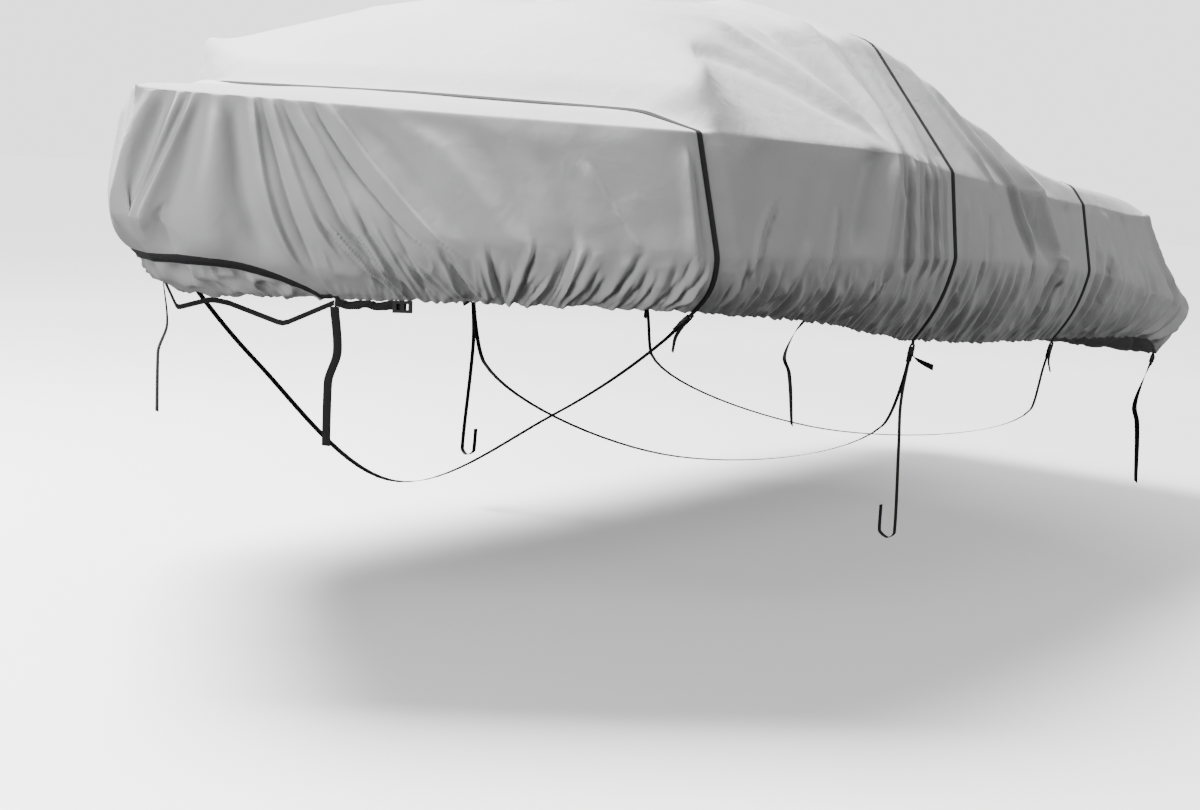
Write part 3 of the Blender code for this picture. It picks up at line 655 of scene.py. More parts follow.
    def _pleats(self, span: PleatSpan, girth: Array, level: Array, side: int) -> Array:
        """Height of one run of gathers on one side, each a little different.

        Args:
            span: The run of gathers.
            girth: Girths, port above zero.
            level: Levels at the same places.
            side: PORT or STARBOARD.

        Returns:
            Heights in metres.
        """
        spread, pick = self.spread, np.random.default_rng(span.seed * 7 + side + 1)
        height = np.zeros(girth.shape)
        port = girth * side
        for i in range(max(1, round((span.last - span.first) / span.pitch))):
            middle = span.first + (i + 0.5 + pick.uniform(*spread.shift)) * span.pitch
            depth = span.depth * pick.uniform(*spread.depth)
            width = span.pitch * pick.uniform(*spread.width)
            top = span.top * pick.uniform(*spread.top)
            lean = pick.uniform(*spread.lean) - spread.bow_lean * fade(*spread.bow_end, middle)
            steep_fore = pick.random() < spread.steep_fore
            near = np.abs(port - middle) < 4 * width + 0.06
            if not near.any():
                continue
            g, l = port[near], level[near]
            away = g - middle - lean * (l - 0.5)
            steep = away < 0 if steep_fore else away > 0
            low, high = (share * width for share in self.pleat_widths)
            ridge = np.exp(-(away / np.where(steep, low, high)) ** 2)
            beside = away - (-1 if steep_fore else 1) * 1.15 * width
            hollow = np.exp(-np.abs(beside) / low)
            window = fade(top - 0.42, top, l) * (0.28 + 0.72 * ease(0.0, 0.40, l))
            height[near] += self.gather_relief * depth * window * (ridge - 0.85 * hollow)
        return height

    def _creases(self, girth: Array, level: Array) -> Array:
        """Height of all folds and gathers, most folds on both sides.

        Args:
            girth: Girths, port above zero.
            level: Levels at the same places.

        Returns:
            Heights in metres.
        """
        height = np.zeros(girth.shape)
        for fold in STEM_FOLDS:
            height += self._fold(fold, girth, level) * self.stem_relief / self.fold_relief
        for i, fold in enumerate(BOW_FOLDS + SIDE_FOLDS + TENT_FOLDS):
            height += self._fold(fold, girth, level)
            shift = 0.022 * math.sin(2.4 * i + 1.0) + 0.012
            share = 0.35 if fold.name.startswith("heel_") else 0.85 + 0.2 * math.sin(1.7 * i)
            height += self._fold(fold, -girth + shift, level) * share
        for span in PLEATS:
            height += sum(self._pleats(span, girth, level, side) for side in (PORT, STARBOARD))
        return height

    def height(self, girth: Array, level: Array) -> Array:
        """How far folds, gathers and slack lift the cloth off its unwrinkled face.

        Args:
            girth: Girths, port above zero.
            level: Levels at the same places.

        Returns:
            Heights in metres, outwards above zero.
        """
        height = self._creases(girth, level)
        far = np.abs(girth)
        low, high = self.band_edges(girth)
        bow = fade(self.band_reach - 0.02, self.band_reach + 0.06, far)
        ruffle = RUFFLE.ridged(girth, level, 2.2)
        ruffle += 0.5 * RUFFLE_FINE.ridged(girth, level, 2.2)
        under = fade(0.0, 0.14, level - low + 0.10)
        height += self.ruffle * ruffle * bow * under * (0.40 + 0.60 * ease(0.0, 0.28, level))
        drawn = np.exp(-((level - (low + high) / 2) / 0.09) ** 2) * bow
        crumple = CRUMPLE.ridged(girth + 0.03 * level, level, 2.4)
        height += self.crumple * crumple * fade(0.62, 1.02, level) * (1 - bow)
        height += self.hem_gather * HEM_GATHER.at(girth, level) * fade(0.10, 0.36, level)
        side = between(self.side_span, level)
        height += self.side_slack * side * SIDE_SLACK.at(girth - 0.12 * level, level)
        height += self.side_slack_fine * side * SIDE_SLACK_FINE.at(girth - 0.10 * level, level)
        height *= 1 - 0.75 * drawn
        height *= ease(0.0, 0.06, self.reach - far)
        height *= 1 - 0.80 * ease(2.50, 3.15, level) * ease(2.70, 3.00, far)
        return height * self.strap_mask(girth) * fade(3.55, 3.9, level)

    def strap_mask(self, girth: Array) -> Array:
        """Where the cloth is free of the crossing straps that pull it smooth.

        Args:
            girth: Girths, port above zero.

        Returns:
            0 under the straps and 1 away from them.
        """
        clear = np.ones(np.shape(girth))
        for number in range(1, len(STRAP_X) + 1):
            away = np.abs(np.abs(girth) - self.strap_girth(number))
            clear = clear * ease(*self.strap_clear, away)
        return clear

    def surface(self, girth: Array, level: Array) -> Array:
        """Points of the cloth's outer face in the part's frame.

        Args:
            girth: Girths as a column, port above zero.
            level: Levels, one row for each girth.

        Returns:
            The points, in metres.
        """
        girth = girth * np.ones(np.broadcast(girth, level).shape)
        level = level * np.ones(girth.shape)
        point = self.base(girth, level)
        free = self.strap_mask(girth)
        lift = np.zeros(girth.shape)
        for corner in LIFTS:
            away = np.hypot(point[..., 0] - corner.x, point[..., 1] - corner.y)
            lift += corner.height * np.exp(
                -(np.hypot(away, self.lift_blunt) / corner.radius) ** self.lift_power)
        point[..., 2] += lift * free * ease(2.02, 2.5, level)
        slack = self.top_slack * TOP_SLACK.at(point[..., 0] + 0.4 * point[..., 1], point[..., 1])
        point[..., 2] += slack * ease(2.3, 2.9, level) * free
        return point + self.outward(girth, level) * self.height(girth, level)[..., None] - ORIGIN


class Attribute(str, Enum):
    """Names of the places that meshes carry for their materials."""

    CLOTH = "cloth_place"
    STRAP = "strap_place"


def dress(mesh: bpy.types.Mesh, attribute: Attribute, places: Array,
          material: bpy.types.Material) -> bpy.types.Object:
    """Give a mesh its material and its place map, and link its object.

    Args:
        mesh: The mesh to dress, named like its piece.
        attribute: Which place map it carries.
        places: Three numbers for each vertex.
        material: Its finish.

    Returns:
        The linked object.
    """
    layer = mesh.attributes.new(attribute.value, "FLOAT_VECTOR", "POINT")
    layer.data.foreach_set("vector", np.asarray(places, np.float32).ravel())
    mesh.materials.append(material)
    return link(mesh.name, mesh)


def link(name: str, data: bpy.types.ID) -> bpy.types.Object:
    """Link a new object into the scene.

    Args:
        name: Its name.
        data: Its mesh, light or camera.

    Returns:
        The object.
    """
    thing = bpy.data.objects.new(name, data)
    bpy.context.scene.collection.objects.link(thing)
    return thing


def attach(piece: bpy.types.Object, node: str) -> None:
    """Let a piece ride on the part and stand for its node.

    Args:
        piece: The piece.
        node: The node that it replaces.
    """
    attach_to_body(piece, "root")
    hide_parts(node)
    LOG.info("%s: %d faces", piece.name, len(piece.data.polygons))


def solid(name: str, points: Array, faces: Sequence[Face], sharp: float) -> bpy.types.Mesh:
    """A closed mesh, smooth but for its sharp edges.

    Args:
        name: Name of the mesh.
        points: Its vertices.
        faces: Its faces as numbers of vertices, all facing the same way.
        sharp: Angle in degrees from which an edge is sharp.

    Returns:
        The mesh, with its faces turned outwards.
    """
    mesh = bpy.data.meshes.new(name)
    mesh.from_pydata(points.reshape(-1, 3).tolist(), [], faces)
    work = bmesh.new()
    work.from_mesh(mesh)
    bmesh.ops.recalc_face_normals(work, faces=work.faces)
    work.to_mesh(mesh)
    work.free()
    mesh.shade_smooth()
    mesh.set_sharp_from_angle(angle=math.radians(sharp))
    return mesh


def tube(count: int, sides: int, turned: bool = False) -> List[Face]:
    """Faces of a closed tube whose vertices run ring after ring.

    Args:
        count: Number of rings.
        sides: Vertices in each ring.
        turned: Whether the faces look the other way.

    Returns:
        The two end faces and the four-sided ones between rings.
    """
    first, last = tuple(range(sides)), tuple(range((count - 1) * sides, count * sides))
    faces = [first, last[::-1]] if turned else [first[::-1], last]
    for ring in range(0, (count - 1) * sides, sides):
        for k in range(sides):
            a, b = ring + k, ring + (k + 1) % sides
            faces.append((a, a + sides, b + sides, b) if turned else (a, b, b + sides, a + sides))
    return faces


class NodeTree:
    """Short calls for building a shader tree."""

    def __init__(self, tree: bpy.types.NodeTree) -> None:
        """Keep the tree to build in."""
        self.tree = tree

    def fill(self, node: bpy.types.Node, inputs: Inputs) -> None:
        """Link or set a node's inputs.

        Args:
            node: The node.
            inputs: A socket or a value for each input, by its name or number.
        """
        for key, value in inputs.items():
            if isinstance(value, bpy.types.NodeSocket):
                self.tree.links.new(value, node.inputs[key])
            else:
                node.inputs[key].default_value = value

    def add(self, kind: str, inputs: Inputs, **settings: object) -> bpy.types.Node:
        """Add a node.

        Args:
            kind: Its type, without the word ShaderNode.
            inputs: A socket or a value for each input, by its name or number.
            settings: Its properties.

        Returns:
            The node.
        """
        node = self.tree.nodes.new("ShaderNode" + kind)
        for key, value in settings.items():
            setattr(node, key, value)
        self.fill(node, inputs)
        return node

    def group(self, effect: Group, inputs: Inputs) -> Sequence[Socket]:
        """Outputs of a shared group's new node."""
        return self.add("Group", inputs, node_tree=effect()).outputs

    def math(self, operation: str, *values: object) -> Socket:
        """Output of a new Math node, with sockets or numbers for its inputs."""
        return self.add("Math", dict(enumerate(values)), operation=operation).outputs[0]

    def mixed(self, share: object, first: object, second: object) -> Socket:
        """Output of a new node that mixes two colours."""
        inputs = {"Factor": share, "A": first, "B": second}
        return self.add("Mix", inputs, data_type="RGBA").outputs["Result"]

    def noise(self, place: object, scale: object, **more: float) -> Socket:
        """Output of a new Noise Texture node."""
        return self.add("TexNoise", {"Vector": place, "Scale": scale, **more}).outputs[0]

    def bumped(self, height: object, strength: float, distance: float, **more: object) -> Socket:
        """Output of a new Bump node."""
        inputs = {"Height": height, "Strength": strength, "Distance": distance, **more}
        return self.add("Bump", inputs).outputs["Normal"]


# Kinds of a group's sockets that aren't plain numbers, by the type of their usual value.
KINDS = {type(None): "NodeSocketVector", tuple: "NodeSocketColor"}


def shared(*outputs: str, **inputs: object) -> Callable[[Callable], Group]:
    """Turn a recipe into a shader group that is built once and shared by the finishes.

    Args:
        outputs: The group's outputs.
        inputs: Its inputs and their usual values; a place has none.

    Returns:
        The decorator for the recipe, which gets the tree and the group's inputs.
    """
    def wrap(recipe: Callable[[NodeTree, Inputs], Inputs]) -> Group:
        """Keep a recipe's group.

        Args:
            recipe: The recipe.

        Returns:
            A function that gives its group.
        """
        @functools.lru_cache(maxsize=None)
        def group() -> bpy.types.NodeTree:
            """Build the group.

            Returns:
                Its tree.
            """
            tree = bpy.data.node_groups.new(recipe.__name__, "ShaderNodeTree")
            for name, value in inputs.items():
                kind = KINDS.get(type(value), "NodeSocketFloat")
                socket = tree.interface.new_socket(name, in_out="INPUT", socket_type=kind)
                if value is not None:
                    socket.default_value = value
            for name in outputs:
                kind = KINDS[tuple] if name == "Color" else "NodeSocketFloat"
                tree.interface.new_socket(name, in_out="OUTPUT", socket_type=kind)
            work = NodeTree(tree)
            given, out = tree.nodes.new("NodeGroupInput"), tree.nodes.new("NodeGroupOutput")
            work.fill(out, recipe(work, given.outputs))
            return tree
        return group
    return wrap


@shared("Height", Place=None, Pitch=0.001)
def woven_threads(work: NodeTree, given: Inputs) -> Inputs:
    """Plain weave: threads over and under each other on a square pitch.

    Args:
        work: The group's tree.
        given: Its inputs.

    Returns:
        The height of the threads.
    """
    place = work.add("SeparateXYZ", {0: given["Place"]}).outputs
    turns = work.math("DIVIDE", math.pi, given["Pitch"])
    weft, warp = (work.math("SINE", work.math("MULTIPLY", place[axis], turns)) for axis in "XY")
    return {"Height": work.math("MULTIPLY_ADD", work.math("MULTIPLY", weft, warp), 0.5, 0.5)}


@shared("Height", Place=None, Scale=12.0)
def cloth_crumple(work: NodeTree, given: Inputs) -> Inputs:
    """Small soft creases left in cloth by folding and by its elastic.

    Args:
        work: The group's tree.
        given: Its inputs.

    Returns:
        The height of the creases.
    """
    place, scale = given["Place"], given["Scale"]
    broad = work.noise(place, scale, Detail=3.0, Distortion=0.4)
    sharp = work.add("TexVoronoi", {"Vector": place, "Scale": work.math("MULTIPLY", scale, 0.8)},
                     feature="DISTANCE_TO_EDGE")
    crease = work.math("MINIMUM", work.math("MULTIPLY", sharp.outputs["Distance"], 3.0), 1.0)
    return {"Height": work.math("MULTIPLY_ADD", crease, 0.15, broad)}


@shared("Color", "Roughness", Place=None, Light=(1, 1, 1, 1), Dark=(0, 0, 0, 1), Scale=3.0,
        Rough=0.8, Spread=0.08)
def soft_tone(work: NodeTree, given: Inputs) -> Inputs:
    """Colour that drifts between two near shades, with a roughness that goes with it.

    Args:
        work: The group's tree.
        given: Its inputs.

    Returns:
        The colour and the roughness.
    """
    noise = work.noise(given["Place"], given["Scale"], Detail=5.0)
    drift = work.math("SUBTRACT", noise, 0.5)
    rough = work.math("MULTIPLY_ADD", drift, given["Spread"], given["Rough"])
    return {"Color": work.mixed(noise, given["Light"], given["Dark"]), "Roughness": rough}


@shared("Mask", Place=None, Line=0.02, Length=0.004, Thread=0.0006)
def stitch_row(work: NodeTree, given: Inputs) -> Inputs:
    """A row of dashes: stitches of a length along X, in a line at a place on Y.

    Args:
        work: The group's tree.
        given: Its inputs.

    Returns:
        The mask of the stitches.
    """
    place = work.add("SeparateXYZ", {0: given["Place"]}).outputs
    turns = work.math("DIVIDE", 2 * math.pi, given["Length"])
    wave = work.math("SINE", work.math("MULTIPLY", place["X"], turns))
    off = work.math("ABSOLUTE", work.math("SUBTRACT", place["Y"], given["Line"]))
    dash = work.math("GREATER_THAN", wave, -0.45)
    return {"Mask": work.math("MULTIPLY", dash, work.math("LESS_THAN", off, given["Thread"]))}


@dataclass(frozen=True)
class Finish:
    """What all finishes share: two near shades that drift, sewn rows, and how they take light."""

    name: str
    light: Triple
    dark: Triple
    roughness: float
    spread: float
    tone_scale: float
    specular: float
    sheen: float = 0.0
    sheen_roughness: float = 0.5
    thread: Triple = (0.0, 0.0, 0.0)
    thread_half: float = 0.0006
    stitch_lines: Tuple[float, ...] = ()

    def _places(self, work: NodeTree) -> Sequence[Socket]:
        """Where the sewn rows and the tone are read: both in the piece's own space."""
        return [work.add("TexCoord", {}).outputs["Object"]] * 2

    def _map(self, work: NodeTree, attribute: Attribute) -> Socket:
        """The place map that meshes carry."""
        return work.add("Attribute", {}, attribute_name=attribute.value).outputs["Vector"]

    def _relief(self, work: NodeTree, place: Socket, space: Socket) -> Socket:
        """The normal that carries the finish's fine relief, in each finish's own way."""
        raise NotImplementedError

    def build(self) -> bpy.types.Material:
        """Make the material.

        Returns:
            The material.
        """
        material = bpy.data.materials.new(self.name)
        material.use_nodes = True
        work = NodeTree(material.node_tree)
        place, space = self._places(work)
        color, roughness = work.group(soft_tone, {
            "Place": space, "Light": (*self.light, 1), "Dark": (*self.dark, 1),
            "Scale": self.tone_scale, "Rough": self.roughness, "Spread": self.spread})
        for line in self.stitch_lines:
            inputs = {"Place": place, "Line": line, "Thread": self.thread_half}
            mask, = work.group(stitch_row, inputs)
            color = work.mixed(mask, color, (*self.thread, 1))
        work.fill(material.node_tree.nodes["Principled BSDF"], {
            "Base Color": color, "Roughness": roughness,
            "Normal": self._relief(work, place, space), "Specular IOR Level": self.specular,
            "Sheen Weight": self.sheen, "Sheen Roughness": self.sheen_roughness})
        return material


@dataclass(frozen=True)
class CoatedPolyester(Finish):
    """The cover's light grey cloth: fine plain weave with a matt coating."""

    name: str = "cover_polyester"
    light: Triple = (0.500, 0.501, 0.507)
    dark: Triple = (0.435, 0.436, 0.443)
    roughness: float = 0.80
    spread: float = 0.12
    tone_scale: float = 2.6
    specular: float = 0.28
    sheen: float = 0.18
    thread: Triple = (0.36, 0.36, 0.37)
    stitch_lines: Tuple[float, ...] = (0.021, 0.026)
    crumple_scale: float = 9.0
    crumple_high: float = 0.010
    weave_pitch: float = 0.0009
    weave_high: float = 0.00025

    def _places(self, work: NodeTree) -> Sequence[Socket]:
        """The cloth's place map, and the piece's own space."""
        return self._map(work, Attribute.CLOTH), super()._places(work)[1]

    def _relief(self, work: NodeTree, place: Socket, space: Socket) -> Socket:
        """Creases, with the weave over them.

        Args:
            work: The material's tree.
            place: The cloth's place map.
            space: The piece's own space.

        Returns:
            The normal.
        """
        creases, = work.group(cloth_crumple, {"Place": space, "Scale": self.crumple_scale})
        threads, = work.group(woven_threads, {"Place": place, "Pitch": self.weave_pitch})
        slack = work.bumped(creases, 0.55, self.crumple_high)
        return work.bumped(threads, 0.35, self.weave_high, Normal=slack)


@dataclass(frozen=True)
class WovenTape(Finish):
    """Black webbing or binding: ribs across it, smooth selvedges and, on binding, two sewn rows."""

    light: Triple = (0.017, 0.017, 0.018)
    dark: Triple = (0.010, 0.010, 0.011)
    roughness: float = 0.72
    spread: float = 0.2
    tone_scale: float = 160.0
    specular: float = 0.35
    sheen: float = 0.08
    sheen_roughness: float = 0.4
    thread: Triple = (0.060, 0.060, 0.064)
    thread_half: float = 0.0005
    rib_pitch: float = 0.0021
    rib_slant: float = 0.55
    cord_pitch: float = 0.0024
    rib_high: float = 0.0004

    def _places(self, work: NodeTree) -> Sequence[Socket]:
        """The tape's place map for both."""
        return [self._map(work, Attribute.STRAP)] * 2

    def _relief(self, work: NodeTree, place: Socket, space: Socket) -> Socket:
        """Slanting ribs with cords along them.

        Args:
            work: The material's tree.
            place: The tape's place map.
            space: Not used.

        Returns:
            The normal.
        """
        x, y, _ = work.add("SeparateXYZ", {0: place}).outputs
        run = work.math("ADD", x, work.math("MULTIPLY", work.math("ABSOLUTE", y), self.rib_slant))
        rib = work.math("SINE", work.math("MULTIPLY", run, 2 * math.pi / self.rib_pitch))
        cord = work.math("SINE", work.math("MULTIPLY", y, 2 * math.pi / self.cord_pitch))
        return work.bumped(work.math("MULTIPLY_ADD", cord, 0.35, rib), 0.6, self.rib_high)


@dataclass(frozen=True)
class MouldedPlastic(Finish):
    """Black buckle plastic with a fine spark-eroded grain."""

    name: str = "buckle_acetal"
    light: Triple = (0.030, 0.030, 0.032)
    dark: Triple = (0.012, 0.012, 0.013)
    roughness: float = 0.42
    spread: float = 0.2
    tone_scale: float = 90.0
    specular: float = 0.5
    grain_scale: float = 1800.0
    grain_high: float = 0.0001

    def _relief(self, work: NodeTree, place: Socket, space: Socket) -> Socket:
        """The grain as a normal."""
        return work.bumped(work.noise(space, self.grain_scale), 0.3, self.grain_high)


@dataclass
class CoverCloth:
    """The cloth itself: an upper sheet from rail to ridge and a finer gathered skirt below it."""

    form: CoverForm
    finish: bpy.types.Material
    skirt_rows: int = 29
    side_rows: int = 26
    slope_rows: int = 17
    top_rows: int = 19
    hem_roll: float = 0.0050
    roll_steps: int = 4
    roll_turn: float = 46.0
    skirt_drop: float = 0.30

    def _columns(self) -> Array:
        """Girths of the upper sheet's columns, the same on both sides of the stem.

        Returns:
            The girths, rising.
        """
        fine = np.linspace(0.0, self.form.reach, 4000)
        at, step = np.array(COLUMN_STEPS).T
        run = np.concatenate([[0.0], np.cumsum(np.diff(fine) / np.interp(fine[1:], at, step))])
        side = np.interp(np.linspace(0.0, run[-1], round(run[-1]) + 1), run, fine)
        return np.concatenate([-side[:0:-1], side])

    @staticmethod
    def _leaning(girth: Array, level: Array) -> Array:
        """Girths of grid lines that lean with the folds.

        Args:
            girth: Girth at which each line meets the rail.
            level: Levels, one row for each line.

        Returns:
            Each line's girth at each level.
        """
        rail, deck, shoulder = np.array(GRID_LEANS).T
        read = np.where(girth < rail[0], -girth, girth)
        sign = np.where(girth < rail[0], -1.0, 1.0)
        at_deck, at_shoulder = (sign * np.interp(read, rail, edge) for edge in (deck, shoulder))
        rise = [girth, at_deck, at_shoulder, girth]
        place = girth * np.ones(level.shape)
        for low in range(3):
            share = np.clip(level - 1 - low, 0.0, 1.0)
            inside = (level >= 1 + low) & (level <= 2 + low)
            place = np.where(inside, rise[low] * (1 - share) + rise[low + 1] * share, place)
        return place

    @staticmethod
    def eased(low: float, high: float, rows: int) -> Array:
        """Levels that stand closer together at both ends.

        Args:
            low: The first level.
            high: The last level.
            rows: Number of gaps between them.

        Returns:
            The levels.
        """
        even = np.arange(rows + 1) / rows
        turn = np.pi * np.arange(rows + 1) / rows
        return low + (high - low) * (0.65 * (1 - np.cos(turn)) / 2 + 0.35 * even)

    @staticmethod
    def _normals(points: Array) -> Array:
        """Directions off a grid of points."""
        return unit(np.cross(np.gradient(points, axis=0), np.gradient(points, axis=1)))

    @staticmethod
    def _drop(points: Array) -> Array:
        """Length of cloth from each column's first row."""
        lengths = np.linalg.norm(np.diff(points, axis=1), axis=-1)
        return np.concatenate([np.zeros((len(points), 1)), np.cumsum(lengths, axis=1)], axis=1)

    def _sheet(self, name: str, points: Array, normals: Array, places: Array,
               share: Array) -> bpy.types.Object:
        """Build one sheet from a grid whose vertices may be shared.

        Args:
            name: Name of the piece.
            points: Places, one column of the grid for each girth.
            normals: Directions off the sheet at the same places.
            places: Girth, drop and level there.
            share: For each place, the number of the place that stands for it.

        Returns:
            The piece.
        """
        kept, index = np.unique(share.ravel(), return_inverse=True)
        index = index.reshape(share.shape)
        quads = np.stack([index[:-1, :-1], index[1:, :-1], index[1:, 1:], index[:-1, 1:]], axis=-1)
        faces = [list(dict.fromkeys(quad)) for quad in quads.reshape(-1, 4).tolist()]
        faces = [face for face in faces if len(face) > 2]
        mesh = bpy.data.meshes.new(name)
        mesh.from_pydata(points.reshape(-1, 3)[kept].tolist(), [], faces)
        mesh.shade_smooth()
        mesh.normals_split_custom_set_from_vertices(normals.reshape(-1, 3)[kept].tolist())
        return dress(mesh, Attribute.CLOTH, places.reshape(-1, 3)[kept], self.finish)

    def _upper(self) -> bpy.types.Object:
        """The sheet from the rail over the deck edge and the raised tent to the ridge.

        Returns:
            The piece.
        """
        girth = self._columns()[:, None]
        level = np.concatenate([self.eased(RAIL, DECK, self.side_rows),
                                self.eased(DECK, SHOULDER, self.slope_rows)[1:],
                                self.eased(SHOULDER, RIDGE, self.top_rows)[1:]])
        level = np.concatenate([[2 * level[0] - level[1]], level])[None, :] * np.ones(girth.shape)
        girth = self._leaning(girth, level)
        points = self.form.surface(girth, level)
        points[:, -1, 1] = 0.0
        normals = self._normals(points)
        points, normals, level, girth = points[:, 1:], normals[:, 1:], level[:, 1:], girth[:, 1:]
        normals[:, -1] = unit(normals[:, -1] * (FORE_AFT + UPRIGHT))
        share = np.arange(level.size).reshape(level.shape)
        half = len(share) // 2
        share[:half, -1] = share[::-1][:half, -1]
        share[-1] = share[0]
        places = np.stack([girth, self.skirt_drop + self._drop(points), level], axis=-1)
        return self._sheet("cover_upper", points, normals, places, share)

    def _skirt(self) -> bpy.types.Object:
        """The gathered sheet from rail to hem, with the hem rolled under.

        Returns:
            The piece.
        """
        coarse = self._columns()
        girth = np.interp(steps(len(coarse), 2), np.arange(len(coarse)), coarse)[:, None]
        rise = self.eased(RAIL, DECK, self.side_rows)
        level = np.concatenate([np.linspace(0.0, 1.0, self.skirt_rows + 1) ** 1.08, [rise[1]]])
        level = level[None, :] * np.ones(girth.shape)
        points = self.form.surface(girth, level)
        points[1:-1:2, -2:] = (points[0:-2:2, -2:] + points[2::2, -2:]) / 2
        down = unit(points[:, 0] - points[:, 2])
        out = self.form.outward(girth, 0 * girth)[:, 0]
        out = unit(out - down * np.sum(out * down, axis=-1, keepdims=True))
        turns = [math.radians(self.roll_turn * step) for step in range(self.roll_steps, 0, -1)]
        roll = [points[:, 0] + self.hem_roll * (out * (math.cos(turn) - 1) + down * math.sin(turn))
                for turn in turns]
        drop = self._drop(points)
        points = np.concatenate([np.stack(roll, axis=1), points], axis=1)
        normals = self._normals(points)[:, :-1]
        points = points[:, :-1]
        level, drop = (np.concatenate([0 * rows[:, : self.roll_steps], rows[:, :-1]], axis=1)
                       for rows in (level, drop))
        share = np.arange(level.size).reshape(level.shape)
        share[-1] = share[0]
        places = np.stack([girth * np.ones(level.shape), drop, level], axis=-1)
        return self._sheet("cover_skirt", points, normals, places, share)

    def _flat_area(self, low: float, high: float) -> float:
        """Area of the unwrinkled face between two levels.

        Args:
            low: The lower level.
            high: The upper level.

        Returns:
            The area in square metres.
        """
        girth = self._columns()[::3][:, None]
        level = np.linspace(low, high, 60)[None, :] * np.ones(girth.shape)
        points = self.form.base(girth, level)
        along, rise = np.diff(points, axis=0)[:, :-1], np.diff(points, axis=1)[:-1]
        return float(np.linalg.norm(np.cross(along, rise), axis=-1).sum())

    def build(self) -> None:
        """Build and attach both sheets."""
        upper, skirt = self._upper(), self._skirt()
        for piece in (upper, skirt):
            attach(piece, "cover_cloth")
        self._flat_area(1.0, 4.0) * 1.03
        self._flat_area(0.0, 1.0) * 1.10


@dataclass
class Webbing:
    """Flat woven strap of one width, laid along any path."""

    finish: bpy.types.Material
    width: float = 0.025
    thick: float = 0.0018
    edge: float = 0.0006
    sharp: float = 50.0

    def build(self, name: str, node: str, path: Array, across: Array,
              lift: Optional[Array] = None, width: Optional[float] = None) -> None:
        """Lay a strap along a path and attach it.

        Args:
            name: Name of the piece.
            node: The node that it replaces.
            path: Points along the middle of the strap's inner face.
            across: Direction of its width, one for all or one for each point.
            lift: Direction off its inner face; without it, square to path and width.
            width: Its width where it isn't the usual one.
        """
        half = (width or self.width) / 2
        across = unit(across * np.ones_like(path))
        step = unit(np.diff(path, axis=0))
        along = unit(np.vstack([step[:1], step[:-1] + step[1:], step[-1:]]))
        square = unit(np.cross(across, along))
        if lift is not None:
            square *= np.where(np.sum(square * lift, axis=-1, keepdims=True) < 0, -1.0, 1.0)
        flip = np.sum(np.cross(across, along) * square, axis=-1).mean() < 0
        e, t = self.edge, self.thick
        section = np.array([(-half, 0.3 * t), (-half + e, 0), (half - e, 0), (half, 0.3 * t),
                            (half, 0.7 * t), (half - e, t), (-half + e, t), (-half, 0.7 * t)])
        points = np.stack([path + across * w + square * h for w, h in section], axis=1)
        places = np.zeros(points.shape)
        places[..., 0] = run_along(path)[:, None]
        places[..., 1:] = section
        faces = tube(len(path), len(section))
        mesh = solid(name, points, [face[::-1] for face in faces] if flip else faces, self.sharp)
        attach(dress(mesh, Attribute.STRAP, places, self.finish), node)


@dataclass
class Moulding:
    """A plastic piece made of chamfered plates and bars in its own length, width and height."""

    chamfer: float = 0.0006
    sharp: float = 35.0
    points: List[Triple] = field(default_factory=list)
    faces: List[Face] = field(default_factory=list)

    @staticmethod
    def _inset(outline: Sequence[Pair], amount: float) -> List[Pair]:
        """Draw an outline in.

        Args:
            outline: The outline, in turn round it.
            amount: How far.

        Returns:
            The smaller outline.
        """
        places = np.array(outline)
        before, after = np.roll(places, 1, axis=0), np.roll(places, -1, axis=0)
        first, second = unit(places - before), unit(after - places)
        normal = unit(np.stack([-(first + second)[:, 1], (first + second)[:, 0]], axis=-1))
        turn = np.clip(np.abs(first[:, 0] * normal[:, 1] - first[:, 1] * normal[:, 0]), 0.5, 1.0)
        area = np.sum(places[:, 0] * after[:, 1] - after[:, 0] * places[:, 1])
        return (places + normal * np.sign(area) * amount / turn[:, None]).tolist()

    def plate(self, outline: Sequence[Pair], low: float, high: float) -> None:
        """Add a plate with chamfered edges.

        Args:
            outline: Its outline as length and width, in turn round it.
            low: Height of its lower face.
            high: Height of its upper face.
        """
        inner = self._inset(outline, self.chamfer)
        start, count = len(self.points), len(outline)
        for ring, height in ((inner, low), (outline, low + self.chamfer),
                             (outline, high - self.chamfer), (inner, high)):
            self.points.extend((a, w, height) for a, w in ring)
        bottom, top, *sides = (tuple(start + k for k in face) for face in tube(4, count))
        self.faces.extend((*sides, bottom, top))

    def bar(self, a: Pair, w: Pair, h: Pair) -> None:
        """Add a square bar between two places each way."""
        self.plate(((a[0], w[0]), (a[1], w[0]), (a[1], w[1]), (a[0], w[1])), *h)

    def build(self, name: str, node: str, middle: Array, along: Array, out: Array,
              material: bpy.types.Material) -> None:
        """Set the moulding in place and attach it.

        Args:
            name: Name of the piece.
            node: The node that it replaces.
            middle: Where its own zero goes.
            along: Direction of its length.
            out: Direction of its height.
            material: Its finish.
        """
        along = unit(along)
        out = unit(out - along * float(np.dot(out, along)))
        local = np.array(self.points)
        axes = np.stack([along, np.cross(out, along), out])
        mesh = solid(name, middle + local @ axes, self.faces, self.sharp)
        attach(dress(mesh, Attribute.STRAP, local, material), node)


class BuckleKind(Enum):
    """The two plastic fittings on the straps."""

    SIDE_RELEASE = "side_release"
    LADDER = "ladder"


